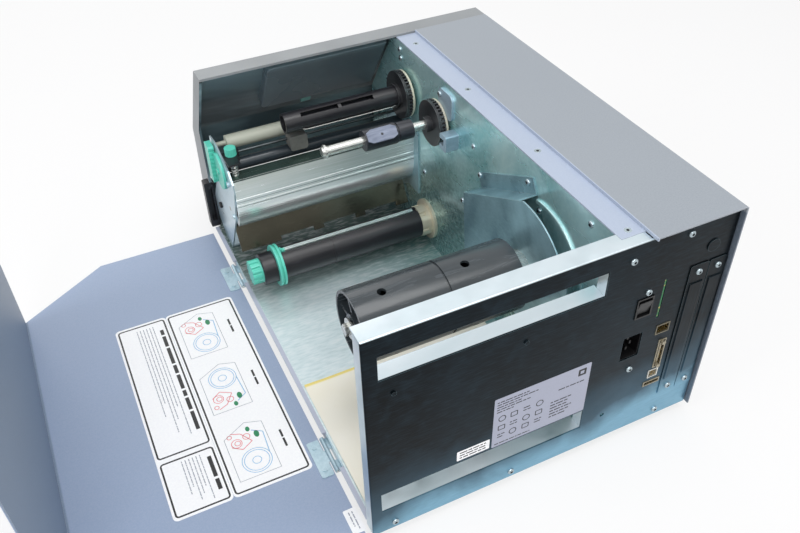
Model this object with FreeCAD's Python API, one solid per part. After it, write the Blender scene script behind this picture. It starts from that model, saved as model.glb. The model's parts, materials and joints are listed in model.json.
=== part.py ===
import FreeCAD, Part
import math
import os

# Thermal label printer with its media cover swung open.
# Millimetres. +Z up, -Y is the printing front, +Y the rear panel, +X the media side.
# The origin is on the table in the middle of the four feet.

V = FreeCAD.Vector
AXIS_X = V(1, 0, 0)
AXIS_Y = V(0, 1, 0)
AXIS_Z = V(0, 0, 1)

# ---- driving dimensions -------------------------------------------------
SHEET = 1.5              # gauge of the folded steel
SEAT = 0.3               # gap left where a part only sits beside another
RUN = 0.06               # radial clearance of a running fit

REAR_Y = 241.0           # outer face of the rear panel
SEAM_Y = -218.0          # joint between the bezel and the covers
ELEC_X = -185.0          # outer face of the electronics side
MEDIA_X = 190.5          # media edge of the rear panel
BASE_X = MEDIA_X - 4.0   # media edge of the base pan
WALL_X = -59.5           # media face of the centre wall
TOP_Z = 273.5            # top of the frame
COVER_Z = TOP_Z + 3.5    # top of the electronics cover
FLOOR_Z = 18.0           # upper face of the base pan
FRONT_Y = -318.0         # front edge of the base pan
PANEL_Z = 12.0           # lower edge of the rear panel and covers
FLANGE_Z = 8.0           # lower edge of the pan's media flange

# bezel side profile, from the rear of its top round to its lower front
BEZEL_END_X = MEDIA_X - 3.5
BEZEL_TOP_Z = COVER_Z - 1.0
BEZEL_WALL = 3.0
BEZEL_BROW_Y = -244.0
BEZEL_KINK = (-329.0, 155.0)
BEZEL_CHIN = (-338.0, 60.0)
BEZEL_FOOT = (-330.0, PANEL_Z)
OPENING_EDGE = (-288.0, 172.0)   # corner of the cheek's open edge

# media cover and its hinges
HINGE_X = BASE_X + 6.5
HINGE_Z = 14.0
DOOR_INNER_Z = 12.0      # inner face of the side panel when the cover lies open
DOOR_TOP_GAP = 0.8       # closed cover above the frame
DOOR_FRONT_Y = -285.0
DOOR_CHAMFER_Z = 171.0   # closed height where the chamfer starts
DOOR_TOP_FRONT_Y = -215.5
DOOR_REAR_Y = REAR_Y + 4.5
STRIP_X = -85.0          # edge of the recessed strip of the electronics cover
STRIP_REAR_Y = REAR_Y - 12.0   # rear end of that strip
HINGE_YS = (-180.0, 136.0)
HINGE_LENGTH = 46.0
KNUCKLE_R = 2.4
PIN_R = 1.2

# shafts: (y, z) of each axis
PLATEN_AXIS = (-255.0, 76.0)
LEVER_AXIS = (-216.0, 153.0)
TAKEUP_AXIS = (-189.0, 211.6)
SUPPLY_AXIS = (-101.0, 217.5)
REWIND_AXIS = (-131.0, 54.0)
HUB_AXIS = (120.0, 166.0)
ROLLER_AXIS = (-243.0, 173.5)
ROD_AXIS = (-204.0, 181.0)
BAR_AXIS = (-208.0, 162.0)
HEAD_PIVOT = (-203.0, 104.0)

# print mechanism
OUTER_PLATE_X = MEDIA_X - 10.5
OUTER_PLATE = 2.0
INNER_PLATE = 1.8
PLATEN_R = 12.0
PLATEN_X = (WALL_X + 7.5, OUTER_PLATE_X - 6.0)
PLATEN_SHAFT_R = 4.0
GEAR_MODULE = 1.0
PLATEN_TEETH = 30
PINION_TEETH = 15
GEAR_WIDTH = 8.0

# media hub
HUB_R = 37.7
HUB_X = (-20.0, MEDIA_X - 38.5)
HUB_PLATE_X = -37.0
BEAD_R = 70.0            # stiffening bead round the hub in the centre wall
AXLE_R = 8.0

# rewinder
REWIND_R = 20.0
REWIND_X = (-42.0, MEDIA_X - 17.5)

# ribbon
TAKEUP_R = 12.4
TAKEUP_SHAFT_R = 6.0
TAKEUP_X0 = -41.0
TAKEUP_END_X = MEDIA_X - 85.9
TAKEUP_DISC_R = 30.0
SUPPLY_DISC_R = 27.5
SUPPLY_SHAFT_R = 5.5
SUPPLY_END_X = MEDIA_X - 100.5
HOLDER_R = 12.3
HOLDER_X = (-1.0, 39.5)
DISC_X = (-56.2, -53.5, -48.0, -45.0)   # back plate, teeth, face

# rear panel openings: (x0, x1, z0, z1)
FANFOLD_SLOT = (-42.5, MEDIA_X - 13.5, 224.0, 252.0)
LINER_SLOT = (-41.5, MEDIA_X - 10.5, 44.0, 71.0)
SLOT_LIP = 17.5
TOP_FLANGE = 20.0
SIDE_FLANGE = 15.0
INLET_OPENING = (-97.0, -75.0, 125.0, 156.0)
SWITCH_OPENING = (-101.0, -81.5, 178.0, 203.0)
CARD_SLOT = (-112.5, -109.5, 169.0, 217.0)
NETWORK_OPENING = (-130.0, -113.0, 144.0, 157.0)
PARALLEL_OPENING = (-131.0, -121.0, 94.0, 134.0)
USB_OPENING = (-130.0, -117.0, 80.0, 92.0)
SERIAL_OPENING = (-135.0, -114.0, 68.5, 75.5)
COVER_PLATES_X = (-148.5, -171.0)
COVER_PLATE_W = 21.5
COVER_PLATE_Z = (46.0, 222.0)

FOOT_X = -ELEC_X - 22.0
FOOT_Y = REAR_Y - 36.0

PAN_HEAD_R = 3.6
PAN_HEAD_H = 2.2
SCREW_R = 1.9


# ---- helpers --------------------------------------------------------------
def box(x0, x1, y0, y1, z0, z1):
    """Block between two corners."""
    return Part.makeBox(x1 - x0, y1 - y0, z1 - z0, V(x0, y0, z0))


def rod_x(x0, x1, axis, radius):
    """Round bar along X."""
    return Part.makeCylinder(radius, x1 - x0, V(x0, axis[0], axis[1]), AXIS_X)


def rod_y(x, z, y0, y1, radius):
    """Round bar along Y."""
    return Part.makeCylinder(radius, y1 - y0, V(x, y0, z), AXIS_Y)


def rod_z(x, y, z0, z1, radius):
    """Round bar along Z."""
    return Part.makeCylinder(radius, z1 - z0, V(x, y, z0), AXIS_Z)


def tube_x(x0, x1, axis, outer, inner):
    """Tube along X."""
    return rod_x(x0, x1, axis, outer).cut(rod_x(x0 - 1, x1 + 1, axis, inner))


def plate_yz(x0, x1, points):
    """Flat plate of thickness x1 - x0 with a (y, z) outline."""
    wire = Part.makePolygon([V(x0, y, z) for y, z in points + points[:1]])
    return Part.Face(wire).extrude(V(x1 - x0, 0, 0))


def plate_xy(z0, z1, points):
    """Flat plate of thickness z1 - z0 with an (x, y) outline."""
    wire = Part.makePolygon([V(x, y, z0) for x, y in points + points[:1]])
    return Part.Face(wire).extrude(V(0, 0, z1 - z0))


def fuse(shapes):
    """One solid made of touching shapes."""
    joined = shapes[0]
    for shape in shapes[1:]:
        joined = joined.fuse(shape)
    return joined.removeSplitter()


def drill(shape, cutters):
    """Remove every cutter from a shape."""
    for cutter in cutters:
        shape = shape.cut(cutter)
    return shape


def round_edges(shape, radius, wanted):
    """Fillet the edges for which wanted(edge) is true."""
    edges = [edge for edge in shape.Edges if wanted(edge)]
    return shape.makeFillet(radius, edges)


def along(edge, axis):
    """True for a straight edge that runs along an axis."""
    if edge.Curve.TypeId != "Part::GeomLine":
        return False
    return abs(abs(edge.tangentAt(edge.FirstParameter).dot(axis)) - 1) < 1e-6


def rounded_box(x0, x1, y0, y1, z0, z1, radius, axis):
    """Block whose edges along one axis are rounded."""
    return round_edges(box(x0, x1, y0, y1, z0, z1), radius, lambda e: along(e, axis))


def ring_points(axis, radius, count, start=0.0):
    """(y, z) points evenly round an axis."""
    step = 2 * math.pi / count
    return [(axis[0] + radius * math.cos(start + i * step),
             axis[1] + radius * math.sin(start + i * step)) for i in range(count)]


def toothed_disc(x0, x1, axis, root, tip, teeth, fill=0.42, phase=0.0):
    """Disc with straight-sided teeth round its rim."""
    pitch = 2 * math.pi / teeth
    points = []
    for i in range(teeth):
        middle = phase + i * pitch
        for radius, offset in ((root, -0.32), (tip, -fill / 2.6), (tip, fill / 2.6), (root, 0.32)):
            angle = middle + offset * pitch
            points.append((axis[0] + radius * math.cos(angle), axis[1] + radius * math.sin(angle)))
    return plate_yz(x0, x1, points)


def pan_head(x, z, y):
    """Pan-head screw in the rear panel, head outside."""
    head = rod_y(x, z, y, y + PAN_HEAD_H, PAN_HEAD_R)
    socket = rod_y(x, z, y + PAN_HEAD_H - 1.2, y + PAN_HEAD_H + 1, 1.3)
    shank = rod_y(x, z, y - 5.0, y, SCREW_R)
    return head.fuse(shank).cut(socket).removeSplitter()


def wall_screw(y, z, x=WALL_X):
    """Pan-head screw in the centre wall, head on the media side."""
    head = rod_x(x, x + PAN_HEAD_H, (y, z), PAN_HEAD_R)
    socket = rod_x(x + PAN_HEAD_H - 1.2, x + PAN_HEAD_H + 1, (y, z), 1.3)
    shank = rod_x(x - 5.0, x, (y, z), SCREW_R)
    return head.fuse(shank).cut(socket).removeSplitter()


def save(name, *solids):
    """Write one node; several solids make a group."""
    shape = solids[0] if len(solids) == 1 else Part.makeCompound(list(solids))
    shape.exportStep(os.path.join("parts", name + ".step"))


# ---- bezel face frame -----------------------------------------------------
BROW = V(0, BEZEL_BROW_Y, BEZEL_TOP_Z)
SLOPE = (V(0, *BEZEL_KINK) - BROW).normalize()
OUTWARD = V(0, SLOPE.z, -SLOPE.y)


def face_slab(x0, x1, down0, down1, out0, out1):
    """Block in the slanted face's frame: down the slope, and out from its surface."""
    corners = [BROW + SLOPE * s + OUTWARD * h
               for s, h in ((down0, out0), (down1, out0), (down1, out1), (down0, out1))]
    return plate_yz(x0, x1, [(c.y, c.z) for c in corners])


WINDOW = (-8.0, 72.0, 36.0, 74.0)            # display opening: x and down the slope
KEYS = {"feed_key": (14.0, 30.0), "menu_key": (36.0, 52.0)}
KEY_DOWN = (86.0, 96.0)
KEY_PROUD = 1.2
KEY_DEPTH = 4.6
KEY_POCKET = 6.4
FIT = 0.3


# ---- chassis --------------------------------------------------------------
REAR_SCREWS = [(167, 21), (39, 21), (-140, 21), (-67, 255), (-128, 264), (-92.5, 209), (-90, 108)]
REAR_SCREWS += [(x, z) for x in COVER_PLATES_X for z in (56, 213)]
WALL_SCREWS = [(-22, 226), (-140, 122), (-41.5, 140.7), (188, 262), (109, 225), (-207.4, 261.8),
               (-205, 251.1)]
BRACKET_SCREW = (-97, 255)
SHELF_SCREWS = [(-3, 200.3), (88, 246.6)]


def base_pan():
    floor = box(ELEC_X + 2 * SHEET + 0.2, BASE_X, FRONT_Y, REAR_Y - SHEET, FLOOR_Z - SHEET, FLOOR_Z)
    media = box(BASE_X - SHEET, BASE_X, FRONT_Y, REAR_Y - SHEET, FLANGE_Z, FLOOR_Z + 2)
    rear = box(ELEC_X + 2 * SHEET + 0.2, BASE_X, REAR_Y - 2 * SHEET, REAR_Y - SHEET, FLOOR_Z - SHEET, 28)
    front = box(ELEC_X + 2 * SHEET + 0.2, BASE_X, FRONT_Y, FRONT_Y + SHEET, FLOOR_Z - SHEET, 28)
    shape = fuse([floor, media, rear, front])
    holes = [rod_y(x, z, REAR_Y - 10, REAR_Y + 1, SCREW_R + 0.1) for x, z in REAR_SCREWS if z < 28]
    cheek = box(BEZEL_END_X - BEZEL_WALL - SEAT, BASE_X + 1, FRONT_Y - 1, OPENING_EDGE[0] + SEAT,
                FLANGE_Z - 1, 30)
    return drill(shape, holes + [cheek])


def side_skirt():
    """Painted folded strip along the media edge, notched for the hinges."""
    x0 = BASE_X
    front, rear = OPENING_EDGE[0] + 2, REAR_Y - SIDE_FLANGE - SEAT
    upright = box(x0, x0 + SHEET, front, rear, FLANGE_Z - 1, FLOOR_Z + 2)
    ledge = box(x0, HINGE_X - 1.8, front, rear, FLOOR_Z + 0.5, FLOOR_Z + 2)
    notches = [box(x0 - 1, x0 + 9, y - HINGE_LENGTH / 2 - 1, y + HINGE_LENGTH / 2 + 1, 0, 30)
               for y in HINGE_YS]
    return drill(upright.fuse(ledge).removeSplitter(), notches)


def rubber_feet():
    feet = []
    for x in (-FOOT_X, FOOT_X):
        for y in (-FOOT_Y, FOOT_Y):
            foot = rod_z(x, y, 0, FLOOR_Z - SHEET, 13.0)
            feet.append(foot.makeChamfer(1.5, [e for e in foot.Edges if e.BoundBox.ZMax < 0.1]))
    return feet


def centre_wall():
    x1 = WALL_X
    x0 = WALL_X - SHEET
    rear = REAR_Y - 2 * SHEET
    top = TOP_Z - 2 * SHEET - 0.1
    outline = [(rear, FLOOR_Z), (rear, top), (-232, top), (-300, 170), (-300, FLOOR_Z)]
    parts = [plate_yz(x0, x1, outline),
             box(x0 - 18, x1, -300, rear, FLOOR_Z, FLOOR_Z + SHEET),
             box(STRIP_X + 1, x1, SEAM_Y + 4, rear, top, top + SHEET),
             box(x0 - 11, x1, rear, rear + SHEET, 29, top + SHEET)]
    bead = tube_x(x1 - 0.5, x1 + 2.6, HUB_AXIS, BEAD_R + 2.5, BEAD_R - 2.5)
    bead = round_edges(bead, 1.2, lambda e: e.BoundBox.XMin > x1 + 2)
    gap = box(x1 - 2, x1 + 4, -200, HUB_AXIS[0] - 15, 0, TOP_Z)
    parts.append(bead.cut(gap))
    wall = fuse(parts)
    holes = [rod_x(x0 - 2, x1 + 4, axis, radius) for axis, radius in (
        (PLATEN_AXIS, PLATEN_SHAFT_R + 1.5), (TAKEUP_AXIS, TAKEUP_SHAFT_R + RUN),
        (SUPPLY_AXIS, SUPPLY_SHAFT_R + RUN))]
    holes += [rod_x(x0 - 2, x1 + 4, p, SCREW_R + 0.1) for p in WALL_SCREWS + SHELF_SCREWS + [BRACKET_SCREW]]
    holes += [rod_z(STRIP_X + 12.5, y, top - 2, top + 4, SCREW_R + 0.1) for y in STRIP_SCREWS]
    holes += [rod_x(x0 - 2, x1 + 4, p, 2.4 + RUN) for p in standoff_points()]
    holes += [rod_y(x, z, rear - 1, REAR_Y, SCREW_R + 0.1) for x, z in REAR_SCREWS if z > 250]
    return drill(wall, holes)


STRIP_SCREWS = (-190.0, -62.0, 78.0, REAR_Y - 20.5)


def flanged_slot(opening):
    """Lip and end cheeks bent forward round a slot in the rear panel."""
    x0, x1, z0, z1 = opening
    back = REAR_Y
    lip = box(x0, x1, back - SLOT_LIP, back, z0 - SHEET, z0)
    lip = round_edges(lip, 1.4, lambda e: along(e, AXIS_X) and e.BoundBox.YMin > back - 0.1
                      and e.BoundBox.ZMax > z0 - 0.1)
    end = box(x0 - SHEET, x0, back - SLOT_LIP + 4, back - 0.5, z0 - SHEET, z1)
    return [lip, end]


def rear_panel():
    x0 = ELEC_X + 2 * SHEET
    inner = REAR_Y - SHEET
    parts = [box(x0, MEDIA_X, inner, REAR_Y, PANEL_Z, TOP_Z),
             box(WALL_X + SEAT, MEDIA_X, REAR_Y - TOP_FLANGE, REAR_Y, TOP_Z - SHEET, TOP_Z),
             box(STRIP_X + 1, MEDIA_X, STRIP_REAR_Y + SEAT, REAR_Y, TOP_Z - SHEET, TOP_Z),
             box(MEDIA_X - SHEET, MEDIA_X, REAR_Y - SIDE_FLANGE, REAR_Y, PANEL_Z, TOP_Z - SHEET - 0.3)]
    panel = fuse(parts)
    panel = round_edges(panel, 1.4, lambda e: (
        (along(e, AXIS_Z) and e.BoundBox.XMin > MEDIA_X - 0.1 and e.BoundBox.YMin > REAR_Y - 0.1)
        or (along(e, AXIS_X) and e.BoundBox.ZMin > TOP_Z - 0.1 and e.BoundBox.YMin > REAR_Y - 0.1)))
    openings = [FANFOLD_SLOT, LINER_SLOT, INLET_OPENING, SWITCH_OPENING, CARD_SLOT,
                NETWORK_OPENING, PARALLEL_OPENING, USB_OPENING, SERIAL_OPENING]
    cuts = [box(a, b, inner - 2, REAR_Y + 1, c, d) for a, b, c, d in openings]
    cuts += [box(x - 8, x + 8, inner - 2, REAR_Y + 1, 66, 202) for x in COVER_PLATES_X]
    cuts += [rod_y(x, z, inner - 2, REAR_Y + 1, SCREW_R + 0.1) for x, z in REAR_SCREWS]
    cuts += [rod_y(-67.5, 50, inner - 2, REAR_Y + 1, 2.5)]
    panel = drill(panel, cuts)
    bosses = [rod_y(x, z, REAR_Y - 0.5, REAR_Y + 1.2, 2.4) for x, z in ((164, 204), (37, 204))]
    bosses.append(rod_y(-159, 240, REAR_Y - 0.5, REAR_Y + 1.0, 7.0))
    return fuse([panel] + flanged_slot(FANFOLD_SLOT) + flanged_slot(LINER_SLOT) + bosses)


def slot_covers():
    covers = []
    for x in COVER_PLATES_X:
        z0, z1 = COVER_PLATE_Z
        half = COVER_PLATE_W / 2
        plate = rounded_box(x - half, x + half, REAR_Y, REAR_Y + 1.0, z0, z1, 2.0, AXIS_Y)
        rib = box(x - half + 3, x + half - 3, REAR_Y + 0.5, REAR_Y + 2.0, z0 + 22, z1 - 22)
        rib = round_edges(rib, 0.9, lambda e: e.BoundBox.YMin > REAR_Y + 1.9)
        holes = [rod_y(x, z, REAR_Y - 1, REAR_Y + 3, SCREW_R + 0.1) for z in (56, 213)]
        covers.append(drill(plate.fuse(rib).removeSplitter(), holes))
    return covers


def electronics_cover():
    """Folded cover: side, top, and the recessed strip beside the media bay."""
    front = SEAM_Y + 0.5
    back = DOOR_REAR_Y
    strip_top = TOP_Z
    parts = [box(ELEC_X, ELEC_X + SHEET, front, back + 0.5, PANEL_Z, COVER_Z),
             box(ELEC_X, STRIP_X, front, back, COVER_Z - SHEET, COVER_Z),
             box(STRIP_X - SHEET, STRIP_X, front, back, strip_top - SHEET, COVER_Z),
             box(STRIP_X - SHEET, WALL_X, front, STRIP_REAR_Y, strip_top - SHEET, strip_top)]
    cover = fuse(parts)
    cover = round_edges(cover, 1.4, lambda e: along(e, AXIS_Y) and e.BoundBox.ZMin > COVER_Z - 0.1
                        and e.BoundBox.XMax < ELEC_X + 0.1)
    vents = [box(ELEC_X - 1, ELEC_X + 3, y, y + 42, z, z + 3.5)
             for y in (-40, 20, 80, 140) for z in range(60, 121, 10)]
    holes = [rod_z(STRIP_X + 12.5, y, strip_top - 3, strip_top + 1, SCREW_R + 0.1) for y in STRIP_SCREWS]
    holes += [Part.makeCone(2.0, 3.9, 1.2, V(STRIP_X + 12.5, y, strip_top - 1.2), AXIS_Z)
              for y in STRIP_SCREWS]
    step = box(STRIP_X - SHEET - 1, STRIP_X + 1, STRIP_REAR_Y, back + 1,
               strip_top - SHEET - 1, strip_top + 0.2)
    return drill(cover, vents + holes + [step])


def chassis_screws():
    screws = []
    for x, z in REAR_SCREWS:
        seat = REAR_Y + (1.0 if x in COVER_PLATES_X else 0.0)
        screws.append(pan_head(x, z, seat))
    screws += [wall_screw(y, z) for y, z in WALL_SCREWS]
    screws.append(wall_screw(*BRACKET_SCREW, x=WALL_X + 3.0))
    screws += [wall_screw(y, z, x=WALL_X + SHEET) for y, z in SHELF_SCREWS]
    for y in STRIP_SCREWS:
        cone = Part.makeCone(1.9, 3.7, 1.1, V(STRIP_X + 12.5, y, TOP_Z - 1.15), AXIS_Z)
        shank = rod_z(STRIP_X + 12.5, y, TOP_Z - 7, TOP_Z - 1.1, SCREW_R)
        socket = rod_z(STRIP_X + 12.5, y, TOP_Z - 0.6, TOP_Z + 1, 1.2)
        screws.append(cone.fuse(shank).cut(socket).removeSplitter())
    return screws


def bezel_profile(inset):
    """(y, z) outline of the bezel, moved inwards by the wall thickness."""
    corners = [(SEAM_Y, BEZEL_TOP_Z), (BEZEL_BROW_Y, BEZEL_TOP_Z), BEZEL_KINK, BEZEL_CHIN, BEZEL_FOOT]
    sides = []
    for (y0, z0), (y1, z1) in zip(corners, corners[1:]):
        length = math.hypot(y1 - y0, z1 - z0)
        dy, dz = (y1 - y0) / length, (z1 - z0) / length
        sides.append((y0 - dz * inset, z0 + dy * inset, dy, dz))
    outline = [(SEAM_Y, BEZEL_TOP_Z - inset)]
    for (ya, za, dya, dza), (yb, zb, dyb, dzb) in zip(sides, sides[1:]):
        t = ((yb - ya) * dzb - (zb - za) * dyb) / (dya * dzb - dza * dyb)
        outline.append((ya + dya * t, za + dza * t))
    return outline + [(BEZEL_FOOT[0] + inset, BEZEL_FOOT[1]), (SEAM_Y, BEZEL_FOOT[1])]


LABEL_EXIT = (WALL_X + 7.5, OUTER_PLATE_X - 4.0, 66.0, 92.0)
CORNER_FRAME = (MEDIA_X - 8.0, MEDIA_X + 4.5, -300.0, -288.0, 20.5, 92.0)


def front_bezel():
    outer = plate_yz(ELEC_X, BEZEL_END_X, bezel_profile(0.0))
    outer = round_edges(outer, 5.0, lambda e: along(e, AXIS_X) and (
        abs(e.BoundBox.YMin - BEZEL_BROW_Y) < 0.5 or abs(e.BoundBox.YMin - BEZEL_KINK[0]) < 0.5
        or abs(e.BoundBox.YMin - BEZEL_CHIN[0]) < 0.5))
    inner = plate_yz(ELEC_X + BEZEL_WALL, BEZEL_END_X - BEZEL_WALL, bezel_profile(BEZEL_WALL))
    rear_void = box(ELEC_X + BEZEL_WALL, BEZEL_END_X - BEZEL_WALL, SEAM_Y - 1, SEAM_Y + 1,
                    PANEL_Z - 1, BEZEL_TOP_Z - BEZEL_WALL)
    under = box(ELEC_X + BEZEL_WALL, BEZEL_END_X - BEZEL_WALL, BEZEL_FOOT[0] + BEZEL_WALL, SEAM_Y + 1,
                PANEL_Z - 1, PANEL_Z + 3)
    # the media cheek stops at the cover's opening edge
    cheek = plate_yz(BEZEL_END_X - BEZEL_WALL - 0.1, BEZEL_END_X + 1, [
        (SEAM_Y + 1, BEZEL_TOP_Z - BEZEL_WALL), (SEAM_Y - 2, BEZEL_TOP_Z - BEZEL_WALL), OPENING_EDGE,
        (OPENING_EDGE[0], PANEL_Z - 1), (SEAM_Y + 1, PANEL_Z - 1)])
    x0, x1, y0, y1, z0, z1 = CORNER_FRAME
    corner = box(x0 - FIT, x1, y0 - FIT, y1 + 1, z0 - 10, z1 + FIT)
    a, b, c, d = LABEL_EXIT
    cuts = [inner, rear_void, under, cheek, corner, box(a, b, -345, -325, c, d),
            face_slab(WINDOW[0], WINDOW[1], WINDOW[2], WINDOW[3], -6, 6)]
    for key in KEYS.values():
        cuts.append(face_slab(key[0] - FIT, key[1] + FIT, KEY_DOWN[0] - FIT, KEY_DOWN[1] + FIT, -6, 6))
    return drill(outer, cuts)


def corner_frame():
    x0, x1, y0, y1, z0, z1 = CORNER_FRAME
    body = rounded_box(x0, x1, y0, y1, z0, z1, 2.0, AXIS_Y)
    return body.cut(box(x0 + 3, x1 - 3, y1 - 8, y1 + 1, z0 + 10, z1 - 8))


def display_housing():
    """Raised housing behind the display and its keys, with a small catch on its lower edge."""
    inner = -15.0
    body = face_slab(-56, 101, 12, 110, inner, -BEZEL_WALL)
    body = round_edges(body, 7.0, lambda e: along(e, OUTWARD) and e.BoundBox.XMin > 90)
    body = round_edges(body, 1.6, lambda e: all(
        abs((v.Point - BROW).dot(OUTWARD) - inner) < 0.01 for v in e.Vertexes))
    catch = face_slab(31, 44, 109, 121, inner + 1, -5)
    pockets = [face_slab(k[0] - FIT, k[1] + FIT, KEY_DOWN[0] - FIT, KEY_DOWN[1] + FIT, -KEY_POCKET, 1)
               for k in KEYS.values()]
    return drill(fuse([body, catch]), pockets)


def display_window():
    return face_slab(WINDOW[0] + FIT, WINDOW[1] - FIT, WINDOW[2] + FIT, WINDOW[3] - FIT,
                     -BEZEL_WALL, -0.6)


def key(name):
    x0, x1 = KEYS[name]
    cap = face_slab(x0, x1, KEY_DOWN[0], KEY_DOWN[1], -KEY_DEPTH, KEY_PROUD)
    return round_edges(cap, 0.8, lambda e: along(e, AXIS_X) and e.BoundBox.YMin < cap.BoundBox.YMin + 7)


# ---- rear connectors and electronics --------------------------------------
def power_inlet():
    x0, x1, z0, z1 = INLET_OPENING
    y0, y1 = REAR_Y - 24, REAR_Y - SHEET
    body = box(x0 - 1.5, x1 + 1.5, y0, y1, z0 - 3, z1 + 3)
    recess = rounded_box(x0 + 1, x1 - 1, REAR_Y - 18, REAR_Y + 1, z0 + 1, z1 - 1, 3.0, AXIS_Y)
    body = body.cut(recess)
    cx, cz = (x0 + x1) / 2, (z0 + z1) / 2
    for dx, dz in ((0, 7), (0, -7), (-3.5, 0)):
        body = body.fuse(box(cx + dx - 1, cx + dx + 1, REAR_Y - 19, REAR_Y - 6, cz + dz - 2, cz + dz + 2))
    return body.removeSplitter()


SWITCH_PIVOT = (REAR_Y - 5.0, (SWITCH_OPENING[2] + SWITCH_OPENING[3]) / 2)


def power_switch():
    x0, x1, z0, z1 = SWITCH_OPENING
    body = box(x0 + FIT, x1 - FIT, REAR_Y - 24, REAR_Y + 1.0, z0 + FIT, z1 - FIT)
    pocket = box(x0 + 2.2, x1 - 2.2, REAR_Y - 20, REAR_Y + 2, z0 + 2.0, z1 - 2.0)
    pin = rod_x(x0 + 1, x1 - 1, SWITCH_PIVOT, 1.5)
    return body.cut(pocket).fuse(pin).removeSplitter()


def power_rocker():
    x0, x1, z0, z1 = SWITCH_OPENING
    cy, cz = SWITCH_PIVOT
    half = (z1 - z0) / 2 - 4.0
    face = REAR_Y + 1.6
    outline = [(cy - 4, cz - half + 2), (face - 2.6, cz - half), (face - 1.2, cz - 1),
               (face + 0.6, cz + half), (cy - 4, cz + half - 2)]
    body = plate_yz(x0 + 2.6, x1 - 2.6, outline)
    return body.cut(rod_x(x0, x1, SWITCH_PIVOT, 1.5 + RUN))


def port(opening, depth, recess):
    """Connector shell that fills a rear opening."""
    x0, x1, z0, z1 = opening
    shell = box(x0 + FIT, x1 - FIT, REAR_Y - depth, REAR_Y + 0.6, z0 + FIT, z1 - FIT)
    return shell.cut(box(x0 + 1.5, x1 - 1.5, REAR_Y - recess, REAR_Y + 2, z0 + 1.5, z1 - 1.5))


def parallel_port():
    x0, x1, z0, z1 = PARALLEL_OPENING
    shell = port(PARALLEL_OPENING, 14, 6)
    tongue = box((x0 + x1) / 2 - 1.2, (x0 + x1) / 2 + 1.2, REAR_Y - 8, REAR_Y - 0.6, z0 + 6, z1 - 6)
    nuts = [rod_y((x0 + x1) / 2, z, REAR_Y - 8, REAR_Y + 3.2, 2.3) for z in (z0 + 3.6, z1 - 3.6)]
    return fuse([shell, tongue] + nuts)


BOARD_X = -136.0
BOARD_Z = (34.0, 230.0)


def main_board():
    """Controller board on edge behind the rear panel, and the memory card in its slot."""
    board = box(BOARD_X - 1.6, BOARD_X, 40, REAR_Y - 2 * SHEET, *BOARD_Z)
    heat_sink = box(BOARD_X, BOARD_X + 14, 90, 130, 150, 190)
    chips = [box(BOARD_X, BOARD_X + 2.5, y, y + 24, z, z + 24) for y, z in ((70, 60), (140, 60), (150, 120))]
    x0, x1, z0, z1 = CARD_SLOT
    card = box(x0 + 0.7, x1 - 0.7, REAR_Y - 60, REAR_Y - 0.4, z0 + 0.5, z1 - 0.5)
    socket = box(BOARD_X, x1 + 1, REAR_Y - 66, REAR_Y - 60, z0, z1)
    board_legs = [box(ELEC_X + SHEET + 0.3, BOARD_X - 1.6, y, y + 6, z, z + 6)
                  for y in (50, 210) for z in (40, 215)]
    return fuse([board, heat_sink, socket, card] + chips + board_legs)


def power_supply():
    """Open-frame supply on the base pan."""
    can = rounded_box(-172, -92, -90, 20, FLOOR_Z, FLOOR_Z + 70, 3.0, AXIS_Z)
    slots = [box(-173, -91, y, y + 3, FLOOR_Z + 20, FLOOR_Z + 60) for y in range(-80, 12, 10)]
    return drill(can, slots)


MOTOR_AXIS = (PLATEN_AXIS[0] + GEAR_MODULE * (PLATEN_TEETH + PINION_TEETH) / 2, PLATEN_AXIS[1])
MOTOR_HALF = 28.2
MOTOR_HOLE = 23.57
MOTOR_FACE_X = WALL_X - SHEET - 17.5


def standoff_points():
    return [(MOTOR_AXIS[0] + a * MOTOR_HOLE, MOTOR_AXIS[1] + b * MOTOR_HOLE)
            for a in (-1, 1) for b in (-1, 1)]


def stepper_motor():
    cy, cz = MOTOR_AXIS
    body = rounded_box(MOTOR_FACE_X - 56, MOTOR_FACE_X, cy - MOTOR_HALF, cy + MOTOR_HALF,
                       cz - MOTOR_HALF, cz + MOTOR_HALF, 4.0, AXIS_X)
    pilot = rod_x(MOTOR_FACE_X - 1, MOTOR_FACE_X + 1.6, MOTOR_AXIS, 8.0)
    legs = [rod_x(MOTOR_FACE_X - 4, WALL_X - SHEET, p, 2.9) for p in standoff_points()]
    spigots = [rod_x(WALL_X - SHEET - 1, WALL_X - 0.2, p, 2.4) for p in standoff_points()]
    bore = rod_x(MOTOR_FACE_X - 12, MOTOR_FACE_X + 3, MOTOR_AXIS, 3.2 + RUN)
    return fuse([body, pilot] + legs + spigots).cut(bore)


def gear(x0, teeth, axis, bore, phase):
    pitch_r = GEAR_MODULE * teeth / 2
    disc = toothed_disc(x0, x0 + GEAR_WIDTH, axis, pitch_r - 1.2 * GEAR_MODULE,
                        pitch_r + 0.8 * GEAR_MODULE, teeth, phase=phase)
    return disc if bore == 0 else disc.cut(rod_x(x0 - 1, x0 + GEAR_WIDTH + 1, axis, bore))


GEAR_X = WALL_X - SHEET - 12.0


def motor_pinion():
    """Pinion with its motor shaft; a gap between teeth faces the platen gear."""
    wheel = gear(GEAR_X, PINION_TEETH, MOTOR_AXIS, 0, 0.0)
    return wheel.fuse(rod_x(MOTOR_FACE_X - 10, GEAR_X + 1, MOTOR_AXIS, 3.2)).removeSplitter()


def platen_gear():
    return gear(GEAR_X, PLATEN_TEETH, PLATEN_AXIS, PLATEN_SHAFT_R, 0.0)


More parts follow.
